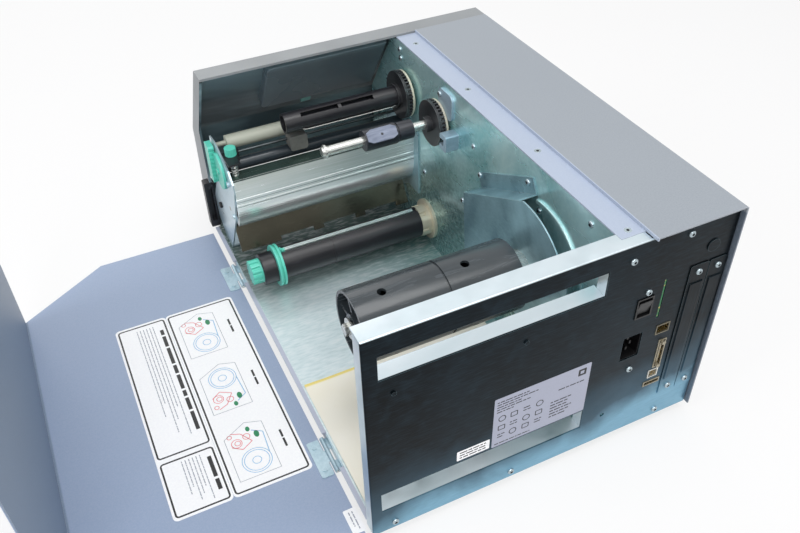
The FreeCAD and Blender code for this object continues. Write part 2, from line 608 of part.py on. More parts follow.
# ---- print mechanism -------------------------------------------------------
MECH_OUTLINE = [(-252, 183), (-228, 186), (-180, 173), (-166, 161), (-164, 150), (-184, 98),
                (-206, 64), (-236, FLOOR_Z), (-262, FLOOR_Z), (-294, 40), (-296, 62), (-270, 98),
                (-252, 120)]
INNER_OUTLINE = [(-252, 183), (-228, 188), (-196, 188), (-180, 176), (-156, 168), (-156, 78), (-184, 78),
                 (-206, 64), (-236, FLOOR_Z), (-262, FLOOR_Z), (-294, 40), (-296, 62), (-270, 98),
                 (-252, 120)]


def shaft_holes(x0, x1):
    """Bearings that both mechanism plates have."""
    return [rod_x(x0 - 1, x1 + 1, axis, radius + RUN) for axis, radius in (
        (PLATEN_AXIS, PLATEN_SHAFT_R), (ROLLER_AXIS, 3.0), (HEAD_PIVOT, 3.0))]


def outer_side_plate():
    x0, x1 = OUTER_PLATE_X, OUTER_PLATE_X + OUTER_PLATE
    plate = plate_yz(x0, x1, MECH_OUTLINE)
    foot = box(x0 - 13, x1, -262, -236, FLOOR_Z, FLOOR_Z + OUTER_PLATE)
    holes = shaft_holes(x0, x1) + [rod_x(x0 - 1, x1 + 1, LEVER_AXIS, 4.0 + RUN)]
    bolts = [rod_x(x1, x1 + 2.2, p, 3.4) for p in ((-185, 152), (-187, 102))]
    return fuse([drill(plate.fuse(foot), holes)] + bolts)


def inner_side_plate():
    x0, x1 = WALL_X, WALL_X + INNER_PLATE
    return drill(plate_yz(x0, x1, INNER_OUTLINE),
                 shaft_holes(x0, x1) + [rod_x(x0 - 1, x1 + 1, ROD_AXIS, ROD_R)])


BEAM = {"front": -190.0, "rear": -168.0, "top": 163.5, "curve": 127.0, "bottom": 92.0, "toe": -178.0}


def head_beam():
    """Extruded aluminium cross beam with a curved lower rear face."""
    x0, x1 = WALL_X + INNER_PLATE, OUTER_PLATE_X
    b = BEAM
    corners = [V(x0, b["rear"], b["curve"]), V(x0, b["rear"], b["top"]), V(x0, b["front"], b["top"]),
               V(x0, b["front"], b["bottom"] + 7), V(x0, b["front"] + 4, b["bottom"]),
               V(x0, b["toe"], b["bottom"])]
    edges = [Part.makeLine(a, c) for a, c in zip(corners, corners[1:])]
    bulge = V(x0, b["rear"] - 1.5, (b["curve"] + b["bottom"]) / 2 + 1)
    edges.append(Part.Arc(corners[-1], bulge, corners[0]).toShape())
    beam = Part.Face(Part.Wire(edges)).extrude(V(x1 - x0, 0, 0))
    grooves = [box(x0 - 1, x1 + 1, b["rear"] - 1.0, b["rear"] + 1, z, z + 1.4) for z in (129.0, 137.0)]
    lip = [box(x0 - 1, x1 + 1, b["rear"] - 3.5, b["rear"] - 2.3, b["top"] - 1, b["top"] + 1)]
    hollow = [box(x0 - 1, x1 + 1, b["front"] + 3, b["rear"] - 4, b["bottom"] + 14, b["top"] - 3)]
    return drill(beam, grooves + lip + hollow)


def printhead():
    """Head carrier on its pivot shaft, with the heat-sink bar over the platen."""
    x0, x1 = PLATEN_X
    py, pz = HEAD_PIVOT
    gap_z = PLATEN_AXIS[1] + PLATEN_R + SEAT
    bar = box(x0, x1, -268, -242, gap_z + 1.5, gap_z + 17)
    fins = [box(x0 - 1, x1 + 1, y, y + 2.2, gap_z + 8, gap_z + 20) for y in (-264, -259, -254, -249)]
    strip = box(x0 + 6, x1 - 6, -260, -250, gap_z, gap_z + 2)
    arm = plate_yz(x0, x1, [(-244, gap_z + 10), (-244, gap_z + 14), (py, pz + 2), (py, pz - 2)])
    shaft = rod_x(WALL_X + 0.3, OUTER_PLATE_X + OUTER_PLATE, HEAD_PIVOT, 3.0)
    return fuse([bar.cut(Part.makeCompound(fins)), strip, arm, shaft])


def platen_roller():
    rubber = rod_x(*PLATEN_X, PLATEN_AXIS, PLATEN_R)
    rubber = rubber.makeChamfer(0.8, [e for e in rubber.Edges if e.Length > 60])
    shaft = rod_x(GEAR_X - 1, OUTER_PLATE_X + OUTER_PLATE + 3, PLATEN_AXIS, PLATEN_SHAFT_R)
    return rubber.fuse(shaft)


def tear_bar():
    x0, x1 = WALL_X + INNER_PLATE, OUTER_PLATE_X
    front = PLATEN_AXIS[0] - PLATEN_R
    return plate_yz(x0, x1, [(front - 2, 62), (front - 2, 82), (front - 7, 86), (front - 9, 86),
                             (front - 9, 62)])


def media_guide():
    """Bent sheet that leads the web up to the platen, with a notched rear edge."""
    x0, x1 = WALL_X + INNER_PLATE, OUTER_PLATE_X
    t = SHEET
    sheet = plate_yz(x0, x1, [(-241, 84), (-206, 72), (-187.5, 44), (-187.5 - t, 43), (-207, 70.6),
                              (-241, 82.4)])
    notches = [box(x, x + 46, -195, -180, 39, 49) for x in (-40.0, 20.0, 80.0)]
    return drill(sheet, notches)


def ribbon_roller():
    x0, x1 = WALL_X + INNER_PLATE, OUTER_PLATE_X
    return fuse([rod_x(x0 + 4, x1 - 15, ROLLER_AXIS, 9.0),
                 rod_x(WALL_X + 0.3, x1 + OUTER_PLATE, ROLLER_AXIS, 3.0)])


def ribbon_rod():
    return rod_x(WALL_X + 0.3, LUG_X + 2.0, ROD_AXIS, ROD_R)


KNOB_X = OUTER_PLATE_X - 10.0
KNOB_Y = -201.0
LUG_X = OUTER_PLATE_X - 19.5
ROD_R = 1.6


def pressure_bar():
    return rod_x(WALL_X + INNER_PLATE, OUTER_PLATE_X, BAR_AXIS, 8.0)


def pressure_block():
    block = rounded_box(76, 98, -208, -189.8, BAR_AXIS[1] + 8 + SEAT, 190, 3.0, AXIS_Y)
    return block.cut(rod_x(70, 100, ROD_AXIS, ROD_R + RUN))


def head_lever():
    """Teal lever: disc on its pivot, with a ribbed grip along its front."""
    x0 = OUTER_PLATE_X + OUTER_PLATE + SEAT
    y, z = LEVER_AXIS
    disc = rod_x(x0, x0 + 3.2, LEVER_AXIS, 23.0)
    pivot = rod_x(OUTER_PLATE_X, x0 + 5, LEVER_AXIS, 4.0)
    grip = rounded_box(x0 + 1, x0 + 8.2, y - 33, y - 14, z - 25, z + 27, 3.0, AXIS_X)
    ribs = [box(x0, x0 + 9, y - 15.2, y - 12, z - 22 + i * 6.0, z - 19 + i * 6.0) for i in range(8)]
    return fuse([disc, pivot, drill(grip, ribs)])


def pressure_bracket():
    """Black holder on the side plate over the spring."""
    x1 = OUTER_PLATE_X
    body = box(x1 - 17, x1, -209, -191, 171, 181)
    arm = box(x1 - 15, x1, -191, -178, 179, 181)
    lug = box(LUG_X, LUG_X + 2.3, ROD_AXIS[0] - 5, ROD_AXIS[0] + 5, 171, 186)
    lug_foot = box(LUG_X, x1 - 16, ROD_AXIS[0] - 5, ROD_AXIS[0] + 5, 171, 181)
    hole = rod_z(KNOB_X, KNOB_Y, 170, 184, 2.5 + RUN)
    seat = rod_x(LUG_X - 1, LUG_X + 2.0, ROD_AXIS, ROD_R)
    return drill(fuse([body, arm, lug, lug_foot]), [hole, seat])


def pressure_knob():
    cap = toothed_knob_z(KNOB_X, KNOB_Y, 181.3, 191.0, 7.0, 12)
    return cap.fuse(rod_z(KNOB_X, KNOB_Y, 173, 182, 2.5)).removeSplitter()


def toothed_knob_z(x, y, z0, z1, radius, ribs):
    """Upright knob with grip flutes."""
    knob = rod_z(x, y, z0, z1, radius)
    flutes = [rod_z(x + (radius + 0.5) * math.cos(2 * math.pi * i / ribs),
                    y + (radius + 0.5) * math.sin(2 * math.pi * i / ribs), z0 + 1.5, z1 + 1, 1.2)
              for i in range(ribs)]
    return drill(knob, flutes)


def pressure_spring():
    x, y = OUTER_PLATE_X - 8.0, -183.0
    z0, z1 = BEAM["top"], 179.0
    return rod_z(x, y, z0, z1, 4.5).cut(rod_z(x, y, z0 - 1, z1 + 1, 3.3))


# ---- ribbon drive -----------------------------------------------------------
def supply_shaft():
    shaft = rod_x(-74, SUPPLY_END_X, SUPPLY_AXIS, SUPPLY_SHAFT_R)
    groove = tube_x(SUPPLY_END_X - 9, SUPPLY_END_X - 7.5, SUPPLY_AXIS, 9.0, SUPPLY_SHAFT_R - 1)
    clip = tube_x(SUPPLY_END_X - 5, SUPPLY_END_X - 2.5, SUPPLY_AXIS, 7.6, SUPPLY_SHAFT_R - 0.5)
    return shaft.cut(groove).fuse(clip).removeSplitter()


def core_holder():
    """Holder that grips the ribbon core, with its collar and a leaf let into its side."""
    x0, x1 = HOLDER_X
    barrel = rod_x(x0, x1, SUPPLY_AXIS, HOLDER_R)
    barrel = round_edges(barrel, 1.0, lambda e: e.Length > 60)
    collar = rod_x(x0 - 20, x0 - 2, SUPPLY_AXIS, HOLDER_R - 1.2)
    neck = rod_x(x0 - 3, x0 + 1, SUPPLY_AXIS, HOLDER_R - 2.5)
    return fuse([barrel, neck, collar, holder_leaf()]).cut(
        rod_x(x0 - 30, x1 + 10, SUPPLY_AXIS, SUPPLY_SHAFT_R))


def holder_leaf():
    """Flat six-sided leaf that faces up and to the rear."""
    x0, x1 = HOLDER_X
    outline = [(x0 + 2, -5), (x0 + 8, -8), (x1 - 8, -8), (x1 - 2, -5),
               (x1 - 2, 5), (x1 - 8, 8), (x0 + 8, 8), (x0 + 2, 5)]
    wire = Part.makePolygon([V(x, 7, t) for x, t in outline + outline[:1]])
    leaf = Part.Face(wire).extrude(V(0, HOLDER_R + 0.6 - 7, 0))
    leaf = leaf.cut(rod_y((x0 + x1) / 2, 0, HOLDER_R - 2, HOLDER_R + 2, 1.6))
    leaf.rotate(V(0, 0, 0), AXIS_X, 45)
    leaf.translate(V(0, *SUPPLY_AXIS))
    return leaf


def clutch_disc(axis, radius, teeth, boss_end, boss_r, bore):
    """Brake disc of a ribbon shaft: back plate, toothed ring and face, with its boss."""
    back, ring, face, front = DISC_X
    return fuse([rod_x(back, ring, axis, radius - 0.5),
                 toothed_disc(ring, face, axis, radius - 3.5, radius, teeth),
                 rod_x(face, front, axis, radius),
                 rod_x(front, boss_end, axis, boss_r)]).cut(rod_x(back - 1, boss_end + 1, axis, bore))


def supply_disc():
    return clutch_disc(SUPPLY_AXIS, SUPPLY_DISC_R, 36, -38, 9.0, SUPPLY_SHAFT_R)


def takeup_spindle():
    """Ribbon take-up tube with long windows, on a shaft through the wall."""
    tube = tube_x(TAKEUP_X0, TAKEUP_END_X, TAKEUP_AXIS, TAKEUP_R, TAKEUP_R - 2.6)
    y, z = TAKEUP_AXIS
    slot = box(-10, 84, y - 3, y + 3, z + 5, z + 15)
    slots = []
    for turn in (0, 90, 180, 270):
        cutter = slot.copy()
        cutter.rotate(V(0, y, z), AXIS_X, turn - 35)
        slots.append(cutter)
    shaft = rod_x(-74, TAKEUP_END_X - 4, TAKEUP_AXIS, TAKEUP_SHAFT_R)
    webs = [rod_x(x, x + 4, TAKEUP_AXIS, TAKEUP_R - 1) for x in (-40, 32, 92)]
    return fuse([drill(tube, slots), shaft] + webs)


def takeup_disc():
    return clutch_disc(TAKEUP_AXIS, TAKEUP_DISC_R, 40, TAKEUP_X0, 15.0, TAKEUP_SHAFT_R)


def ribbon_sensor():
    body = rounded_box(WALL_X, -43, -71.5, -56, 202, 222, 2.0, AXIS_X)
    slot = box(-52, -40, -73, -62, 208, 216)
    return body.cut(slot)


def ribbon_bracket():
    """Rounded bracket screwed to the wall above the supply disc."""
    y0, y1 = -101.0, -69.0
    plate = rounded_box(WALL_X, WALL_X + 3, y0, y1, 231, 263, 7.0, AXIS_X)
    return plate.cut(rod_x(WALL_X - 1, WALL_X + 4, BRACKET_SCREW, SCREW_R + 0.1))


# ---- rewinder ---------------------------------------------------------------
def rewinder_mount():
    ring = rod_x(WALL_X, WALL_X + 3.5, REWIND_AXIS, 27.0)
    hub = rod_x(WALL_X + 3.5, REWIND_X[0] - SEAT, REWIND_AXIS, 20.5)
    slots = [rod_x(WALL_X + 9, REWIND_X[0] + 1, p, 3.0) for p in ring_points(REWIND_AXIS, 20.5, 6)]
    axle = rod_x(WALL_X, REWIND_X[1] - 23, REWIND_AXIS, 6.0)
    return fuse([ring, drill(hub, slots), axle])


def rewinder_spindle():
    x0, x1 = REWIND_X
    tube = rod_x(x0, x1, REWIND_AXIS, REWIND_R)
    tube = round_edges(tube, 1.5, lambda e: e.Length > 60 and e.BoundBox.XMin > x1 - 1)
    tube = tube.cut(rod_x(x0 - 1, x1 - 13, REWIND_AXIS, 6.0 + RUN))
    tube = tube.cut(tube_x(80, 80.8, REWIND_AXIS, REWIND_R + 1, REWIND_R - 0.6))
    flat_r = REWIND_R - 0.8
    flats = [box(x0 - 1, x1 - 27, REWIND_AXIS[0] - 3.2, REWIND_AXIS[0] + 3.2,
                 REWIND_AXIS[1] + s * flat_r - 1.4, REWIND_AXIS[1] + s * flat_r + 1.4) for s in (-1, 1)]
    return drill(tube, flats)


def rewinder_flange():
    """Teal flange ring with the two legs that clamp the web along the spindle."""
    ring_x = REWIND_X[1] - 26.0
    ring = fuse([tube_x(x, x + width, REWIND_AXIS, radius, REWIND_R + RUN) for x, width, radius in (
        (ring_x, 3.2, REWIND_R + 6.5), (ring_x + 3, 2.2, REWIND_R + 4.2), (ring_x + 5, 3.2, REWIND_R + 6.5))])
    ring = round_edges(ring, 0.8, lambda e: e.Length > 160)
    y, z = REWIND_AXIS
    leg_r = REWIND_R + 0.3
    legs = [box(REWIND_X[0] + 6, ring_x + 1, y - 2.8, y + 2.8, z + s * leg_r - 1.3, z + s * leg_r + 1.3)
            for s in (-1, 1)]
    root_r = REWIND_R + 1.5
    roots = [box(ring_x - 3, ring_x + 3, y - 2.8, y + 2.8, z + s * root_r - 2.2, z + s * root_r + 2.2)
             for s in (-1, 1)]
    return fuse([ring] + legs + roots).cut(rewinder_spindle())


def rewinder_knob():
    x0 = REWIND_X[1]
    knob = rod_x(x0, x0 + 13, REWIND_AXIS, 15.5)
    flutes = [rod_x(x0 + 2, x0 + 14, p, 2.2) for p in ring_points(REWIND_AXIS, 15.2, 14)]
    return drill(knob, flutes)


# ---- media hub --------------------------------------------------------------
def hub_plate():
    """Stood-off plate with a shelf and a flange screwed to the wall."""
    x1 = HUB_PLATE_X + SHEET
    cy, cz = HUB_AXIS
    radius = 81.0
    start = math.atan2(247 - cz, 113 - cy)
    arc = [V(HUB_PLATE_X, cy + radius * math.cos(a), cz + radius * math.sin(a))
           for a in (start, start / 2, 0.0)]
    low = V(HUB_PLATE_X, cy + radius * math.cos(-0.9), cz + radius * math.sin(-0.9))
    mid = V(HUB_PLATE_X, cy + radius * math.cos(-0.45), cz + radius * math.sin(-0.45))
    nose = V(HUB_PLATE_X, 0, 186)
    heel = V(HUB_PLATE_X, 8, low.z)
    edges = [Part.Arc(arc[0], arc[1], arc[2]).toShape(), Part.Arc(arc[2], mid, low).toShape(),
             Part.makeLine(low, heel), Part.makeLine(heel, nose), Part.makeLine(nose, arc[0])]
    plate = Part.Face(Part.Wire(edges)).extrude(V(SHEET, 0, 0))
    slope = (arc[0] - nose).normalize()
    rise = V(0, -slope.z, slope.y)

    def band(x_from, x_to, s0, s1, h0, h1):
        corners = [nose + slope * s + rise * h for s, h in ((s0, h0), (s1, h0), (s1, h1), (s0, h1))]
        return plate_yz(x_from, x_to, [(c.y, c.z) for c in corners])

    length = (arc[0] - nose).Length
    shelf = band(WALL_X, x1, 0, length - 12, -SHEET, 0)
    flange = band(WALL_X, WALL_X + SHEET, 0, length - 12, -SHEET, 17)
    front = plate_yz(WALL_X, HUB_PLATE_X, [(nose.y + 1, nose.z - 1), (nose.y + 2.5, nose.z - 1),
                                           (heel.y + 1.5, heel.z), (heel.y, heel.z)])
    holes = [rod_x(WALL_X - 1, WALL_X + 3, p, SCREW_R + 0.1) for p in SHELF_SCREWS]
    holes.append(rod_x(HUB_PLATE_X - 1, x1 + 1, HUB_AXIS, AXLE_R))
    return drill(fuse([plate, shelf, flange, front]), holes)


def hub_axle():
    """Fixed axle with its brake neck and the end bolt and washer."""
    end = HUB_X[1]
    return fuse([rod_x(WALL_X, end - 4, HUB_AXIS, AXLE_R),
                 rod_x(HUB_PLATE_X + SHEET, HUB_X[0] - SEAT, HUB_AXIS, 22.0),
                 rod_x(end - 5, end + 1.0, HUB_AXIS, 5.0),
                 rod_x(end + 0.8, end + 2.4, HUB_AXIS, 11.0),
                 plate_yz(end + 2.4, end + 7.5, ring_points(HUB_AXIS, 6.5, 6))])


def media_hub():
    """Moulded core hub: a tube in two lengths, ribbed inside, with a spoked end."""
    x0, x1 = HUB_X
    wall = 3.2
    tube = tube_x(x0, x1, HUB_AXIS, HUB_R, HUB_R - wall)
    boss = tube_x(x0, x1 - 1.0, HUB_AXIS, 14.0, AXLE_R + RUN)
    floor = tube_x(x0, x0 + 4, HUB_AXIS, HUB_R - 1, AXLE_R + RUN)
    spokes = []
    y, z = HUB_AXIS
    for i in range(6):
        spoke = box(x1 - 30, x1 - 4, y - 1.6, y + 1.6, z + 12, z + HUB_R - 1)
        spoke.rotate(V(0, y, z), AXIS_X, i * 60 + 30)
        spokes.append(spoke)
    web = tube_x(x1 - 32, x1 - 28, HUB_AXIS, HUB_R - 1, AXLE_R + RUN)
    hub = fuse([tube, boss, floor, web] + spokes)
    middle = (x0 + x1) / 2
    cuts = [tube_x(middle - 9, middle - 6.6, HUB_AXIS, HUB_R + 1, HUB_R - 1.6)]
    for x in (x1 - 119, x1 - 31):
        for angle in (83, 203, 323):
            hole = rod_z(x, y, z + 20, z + HUB_R + 6, 4.5)
            hole.rotate(V(x, y, z), AXIS_X, angle - 90)
            cuts.append(hole)
    return drill(hub, cuts)


def floor_liner():
    """Sheet of liner paper left on the floor, curling at its front edge."""
    rear, side = REAR_Y - 15, BASE_X - 2.5
    outline = [(-46, rear), (-46, 48), (60, 44), (110, 40), (150, 47), (side, 40), (side, rear)]
    return plate_xy(FLOOR_Z, FLOOR_Z + 0.4, outline)


# ---- media cover ------------------------------------------------------------
FOLD_X = HINGE_X + (TOP_Z + DOOR_TOP_GAP - HINGE_Z)      # inner face of the cover's top when open
DOOR_EDGE_X = HINGE_X + 3.0
DOOR_REACH = HINGE_X - (STRIP_X + 1.0)                    # closed, the top reaches the strip's step
DOOR_TOP_Z = HINGE_Z + DOOR_REACH


def media_cover():
    """Folded cover lying open: side panel flat, top panel standing."""
    z0, z1 = DOOR_INNER_Z - SHEET, DOOR_INNER_Z
    chamfer_x = HINGE_X + DOOR_CHAMFER_Z - HINGE_Z
    side = plate_xy(z0, z1, [(DOOR_EDGE_X, DOOR_FRONT_Y), (chamfer_x, DOOR_FRONT_Y),
                             (FOLD_X + SHEET, DOOR_TOP_FRONT_Y), (FOLD_X + SHEET, DOOR_REAR_Y),
                             (DOOR_EDGE_X, DOOR_REAR_Y)])
    top = box(FOLD_X, FOLD_X + SHEET, DOOR_TOP_FRONT_Y, DOOR_REAR_Y, z0, DOOR_TOP_Z)
    cover = side.fuse(top).removeSplitter()
    return round_edges(cover, 1.4, lambda e: along(e, AXIS_Y) and e.BoundBox.ZMax < z0 + 0.1
                       and e.BoundBox.XMin > FOLD_X)


def knuckle(y0, y1):
    return rod_y(HINGE_X, HINGE_Z, y0, y1, KNUCKLE_R).cut(
        rod_y(HINGE_X, HINGE_Z, y0 - 1, y1 + 1, PIN_R + RUN))


def hinge_spans(centre):
    """Three knuckle spans: base, cover, base."""
    third = HINGE_LENGTH / 3
    start = centre - HINGE_LENGTH / 2
    return [(start + i * third + 0.15, start + (i + 1) * third - 0.15) for i in range(3)]


def cover_leaves():
    leaves = []
    for centre in HINGE_YS:
        y0, y1 = hinge_spans(centre)[1]
        plate = rounded_box(HINGE_X + 4, HINGE_X + 17, centre - 24, centre + 24,
                            DOOR_INNER_Z, DOOR_INNER_Z + 1.2, 2.0, AXIS_Z)
        tongue = box(HINGE_X + 0.5, HINGE_X + 6, y0, y1, DOOR_INNER_Z, DOOR_INNER_Z + 1.2)
        clear = rod_y(HINGE_X, HINGE_Z, y0 - 1, y1 + 1, PIN_R + RUN)
        rivets = [rod_z(HINGE_X + 11, centre + s * 15, DOOR_INNER_Z + 1, DOOR_INNER_Z + 2.4, 2.6)
                  for s in (-1, 1)]
        leaves.append(fuse([plate, tongue, knuckle(y0, y1)] + rivets).cut(clear))
    return leaves


def base_leaves():
    leaves = []
    for centre in HINGE_YS:
        spans = hinge_spans(centre)
        plate = box(BASE_X, BASE_X + 1.2, centre - HINGE_LENGTH / 2, centre + HINGE_LENGTH / 2,
                    FLANGE_Z, FLOOR_Z + 1)
        arms = []
        for y0, y1 in (spans[0], spans[2]):
            arm = box(BASE_X, HINGE_X - 0.5, y0, y1, HINGE_Z - KNUCKLE_R, HINGE_Z - KNUCKLE_R + 1.2)
            arms.append(arm.fuse(knuckle(y0, y1)).cut(rod_y(HINGE_X, HINGE_Z, y0 - 1, y1 + 1, PIN_R + RUN)))
        leaves.append(fuse([plate] + arms))
    return leaves


def hinge_pins():
    return [rod_y(HINGE_X, HINGE_Z, y - HINGE_LENGTH / 2 - 0.8, y + HINGE_LENGTH / 2 + 0.8, PIN_R)
            for y in HINGE_YS]


os.makedirs("parts", exist_ok=True)
save("base_pan", base_pan())
save("side_skirt", side_skirt())
save("rubber_feet", *rubber_feet())
save("centre_wall", centre_wall())
save("rear_panel", rear_panel())
save("slot_covers", *slot_covers())
save("electronics_cover", electronics_cover())
save("chassis_screws", *chassis_screws())
save("front_bezel", front_bezel())
save("corner_frame", corner_frame())
save("display_housing", display_housing())
save("display_window", display_window())
for key_name in KEYS:
    save(key_name, key(key_name))
save("power_inlet", power_inlet())
save("power_switch", power_switch())
save("power_rocker", power_rocker())
save("network_port", port(NETWORK_OPENING, 16, 10))
save("parallel_port", parallel_port())
save("usb_port", port(USB_OPENING, 16, 9))
save("serial_port", port(SERIAL_OPENING, 14, 5))
save("main_board", main_board())
save("power_supply", power_supply())
save("stepper_motor", stepper_motor())
save("motor_pinion", motor_pinion())
save("platen_gear", platen_gear())
save("outer_side_plate", outer_side_plate())
save("inner_side_plate", inner_side_plate())
save("head_beam", head_beam())
save("printhead", printhead())
save("platen_roller", platen_roller())
save("tear_bar", tear_bar())
save("media_guide", media_guide())
save("ribbon_roller", ribbon_roller())
save("ribbon_rod", ribbon_rod())
save("pressure_bar", pressure_bar())
save("pressure_block", pressure_block())
save("head_lever", head_lever())
save("pressure_bracket", pressure_bracket())
save("pressure_knob", pressure_knob())
save("pressure_spring", pressure_spring())
save("ribbon_supply_shaft", supply_shaft())
save("ribbon_core_holder", core_holder())
save("ribbon_supply_disc", supply_disc())
save("ribbon_takeup_spindle", takeup_spindle())
save("ribbon_takeup_disc", takeup_disc())
save("ribbon_sensor", ribbon_sensor())
save("ribbon_bracket", ribbon_bracket())
save("rewinder_mount", rewinder_mount())
save("rewinder_spindle", rewinder_spindle())
save("rewinder_flange", rewinder_flange())
save("rewinder_knob", rewinder_knob())
save("hub_plate", hub_plate())
save("media_hub_axle", hub_axle())
save("media_hub", media_hub())
save("floor_liner", floor_liner())
save("media_cover", media_cover())
save("cover_hinge_leaves", *cover_leaves())
save("base_hinge_leaves", *base_leaves())
save("hinge_pins", *hinge_pins())
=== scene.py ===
import json
import math

import bmesh
import bpy
from mathutils import Matrix, Vector

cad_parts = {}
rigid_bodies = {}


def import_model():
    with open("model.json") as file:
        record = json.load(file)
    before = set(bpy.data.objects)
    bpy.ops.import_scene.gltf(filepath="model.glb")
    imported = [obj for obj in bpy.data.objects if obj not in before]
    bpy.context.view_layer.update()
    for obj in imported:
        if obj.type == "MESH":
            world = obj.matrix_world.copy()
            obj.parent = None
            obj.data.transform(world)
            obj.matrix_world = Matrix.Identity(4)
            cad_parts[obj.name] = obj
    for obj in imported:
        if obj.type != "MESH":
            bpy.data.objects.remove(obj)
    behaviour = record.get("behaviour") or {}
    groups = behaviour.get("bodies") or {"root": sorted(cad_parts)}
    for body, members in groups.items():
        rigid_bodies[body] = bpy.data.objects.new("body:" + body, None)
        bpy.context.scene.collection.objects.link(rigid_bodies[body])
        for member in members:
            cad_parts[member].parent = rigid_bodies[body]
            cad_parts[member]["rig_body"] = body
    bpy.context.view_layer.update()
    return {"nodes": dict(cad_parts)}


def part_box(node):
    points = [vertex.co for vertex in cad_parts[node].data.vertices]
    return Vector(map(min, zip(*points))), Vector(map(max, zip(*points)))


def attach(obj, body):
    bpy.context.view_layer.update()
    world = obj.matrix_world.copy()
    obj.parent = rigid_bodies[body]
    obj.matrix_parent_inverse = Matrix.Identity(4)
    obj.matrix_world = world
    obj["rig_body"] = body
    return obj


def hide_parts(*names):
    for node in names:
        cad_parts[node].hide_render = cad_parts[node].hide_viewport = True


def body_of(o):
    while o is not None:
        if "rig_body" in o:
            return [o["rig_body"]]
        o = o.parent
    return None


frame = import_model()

# Thermal label printer with its media cover open. Metres, same frame as the CAD model:
# +Z up, -Y the printing front, +Y the rear panel, +X the media side.
MM = 0.001
NODES = frame["nodes"]


# ---- shader helpers ---------------------------------------------------------
class Graph:
    """Small wrapper round one material's node tree."""

    def __init__(self, name):
        self.material = bpy.data.materials.new(name)
        self.material.use_nodes = True
        self.nodes = self.material.node_tree.nodes
        self.links = self.material.node_tree.links
        self.shader = self.nodes["Principled BSDF"]
        self.place = self.add("ShaderNodeTexCoord").outputs["Object"]

    def add(self, kind, **settings):
        node = self.nodes.new(kind)
        for key, value in settings.items():
            if isinstance(value, (int, float, tuple)) and key in node.inputs:
                node.inputs[key].default_value = value
            else:
                setattr(node, key, value)
        return node

    def link(self, source, target):
        self.links.new(source, target)

    def stretched(self, scale):
        """Object coordinates scaled separately along X, Y and Z."""
        mapping = self.add("ShaderNodeMapping")
        mapping.inputs["Scale"].default_value = scale
        self.link(self.place, mapping.inputs["Vector"])
        return mapping.outputs["Vector"]

    def noise(self, scale, detail=3.0, stretch=(1, 1, 1), distortion=0.0):
        node = self.add("ShaderNodeTexNoise", Scale=scale, Detail=detail, Distortion=distortion)
        self.link(self.stretched(stretch), node.inputs["Vector"])
        return node.outputs["Fac"]

    def cells(self, scale, stretch=(1, 1, 1)):
        """Random grey level for each cell of a Voronoi pattern."""
        node = self.add("ShaderNodeTexVoronoi", Scale=scale)
        self.link(self.stretched(stretch), node.inputs["Vector"])
        grey = self.add("ShaderNodeRGBToBW")
        self.link(node.outputs["Color"], grey.inputs["Color"])
        return grey.outputs["Val"]

    def ramp(self, value, low, high, out_low=0.0, out_high=1.0):
        node = self.add("ShaderNodeMapRange")
        for socket, number in zip(("From Min", "From Max", "To Min", "To Max"),
                                  (low, high, out_low, out_high)):
            node.inputs[socket].default_value = number
        self.link(value, node.inputs["Value"])
        return node.outputs["Result"]

    def mix(self, factor, first, second):
        """Mix two colours; each is a socket or an (r, g, b)."""
        node = self.add("ShaderNodeMix", data_type="RGBA")
        if isinstance(factor, float):
            node.inputs[0].default_value = factor
        else:
            self.link(factor, node.inputs[0])
        for socket, value in ((node.inputs[6], first), (node.inputs[7], second)):
            if isinstance(value, tuple):
                socket.default_value = (*value, 1.0)
            else:
                self.link(value, socket)
        return node.outputs[2]

    def math(self, operation, first, second):
        node = self.add("ShaderNodeMath", operation=operation)
        for socket, value in zip(node.inputs, (first, second)):
            if isinstance(value, float):
                socket.default_value = value
            else:
                self.link(value, socket)
        return node.outputs["Value"]

    def axis(self, name):
        """One object coordinate."""
        split = self.add("ShaderNodeSeparateXYZ")
        self.link(self.place, split.inputs["Vector"])
        return split.outputs[name]

    def bump(self, height, strength, distance, under=None):
        node = self.add("ShaderNodeBump", Strength=strength, Distance=distance)
        self.link(height, node.inputs["Height"])
        if under is not None:
            self.link(under, node.inputs["Normal"])
        return node.outputs["Normal"]

    def edges(self, radius):
        """About 1 on edges and 0 on flats, for wear and a painted edge highlight."""
        bevel = self.add("ShaderNodeBevel", samples=4)
        bevel.inputs["Radius"].default_value = radius
        geometry = self.add("ShaderNodeNewGeometry")
        dot = self.add("ShaderNodeVectorMath", operation="DOT_PRODUCT")
        self.link(bevel.outputs["Normal"], dot.inputs[0])
        self.link(geometry.outputs["True Normal"], dot.inputs[1])
        return self.ramp(dot.outputs["Value"], 0.97, 0.80)

    def set(self, **values):
        """Uniform shader values, straight on the shader's sockets."""
        for key, value in values.items():
            socket = self.shader.inputs[key.replace("_", " ")]
            socket.default_value = (*value, 1.0) if isinstance(value, tuple) else value

    def colour(self, socket):
        self.link(socket, self.shader.inputs["Base Color"])

    def roughness(self, socket):
        self.link(socket, self.shader.inputs["Roughness"])

    def normal(self, socket):
        self.link(socket, self.shader.inputs["Normal"])


def srgb(r, g, b):
    """Linear colour from 8-bit display values."""
    return tuple((v / 255) ** 2.2 for v in (r, g, b))


def shade(colour, factor):
    return tuple(min(1.0, c * factor) for c in colour)


# ---- materials --------------------------------------------------------------
TEAL = srgb(96, 205, 184)
CREAM_ZINC = srgb(206, 200, 180)
SILVER = srgb(214, 216, 212)
SUPPLY_AXIS = (-0.101, 0.2175)         # Y and Z of the ribbon supply shaft
DISC_BACK = -0.0535                    # X where a ribbon disc meets its boss
SHELL_FRONT = 0.2405                   # Y where a connector's shell ends
BEAM_FOOT_REFLECTION = (0.098, 0.114)             # Z over which a painted reflection brightens the beam's foot
# Groove heights: True is a painted highlight on a lip, False painted shade in a groove.
BEAM_GROOVE_LIGHTING = ((0.1268, False), (0.1282, True), (0.1336, False), (0.1346, True), (0.1372, True))


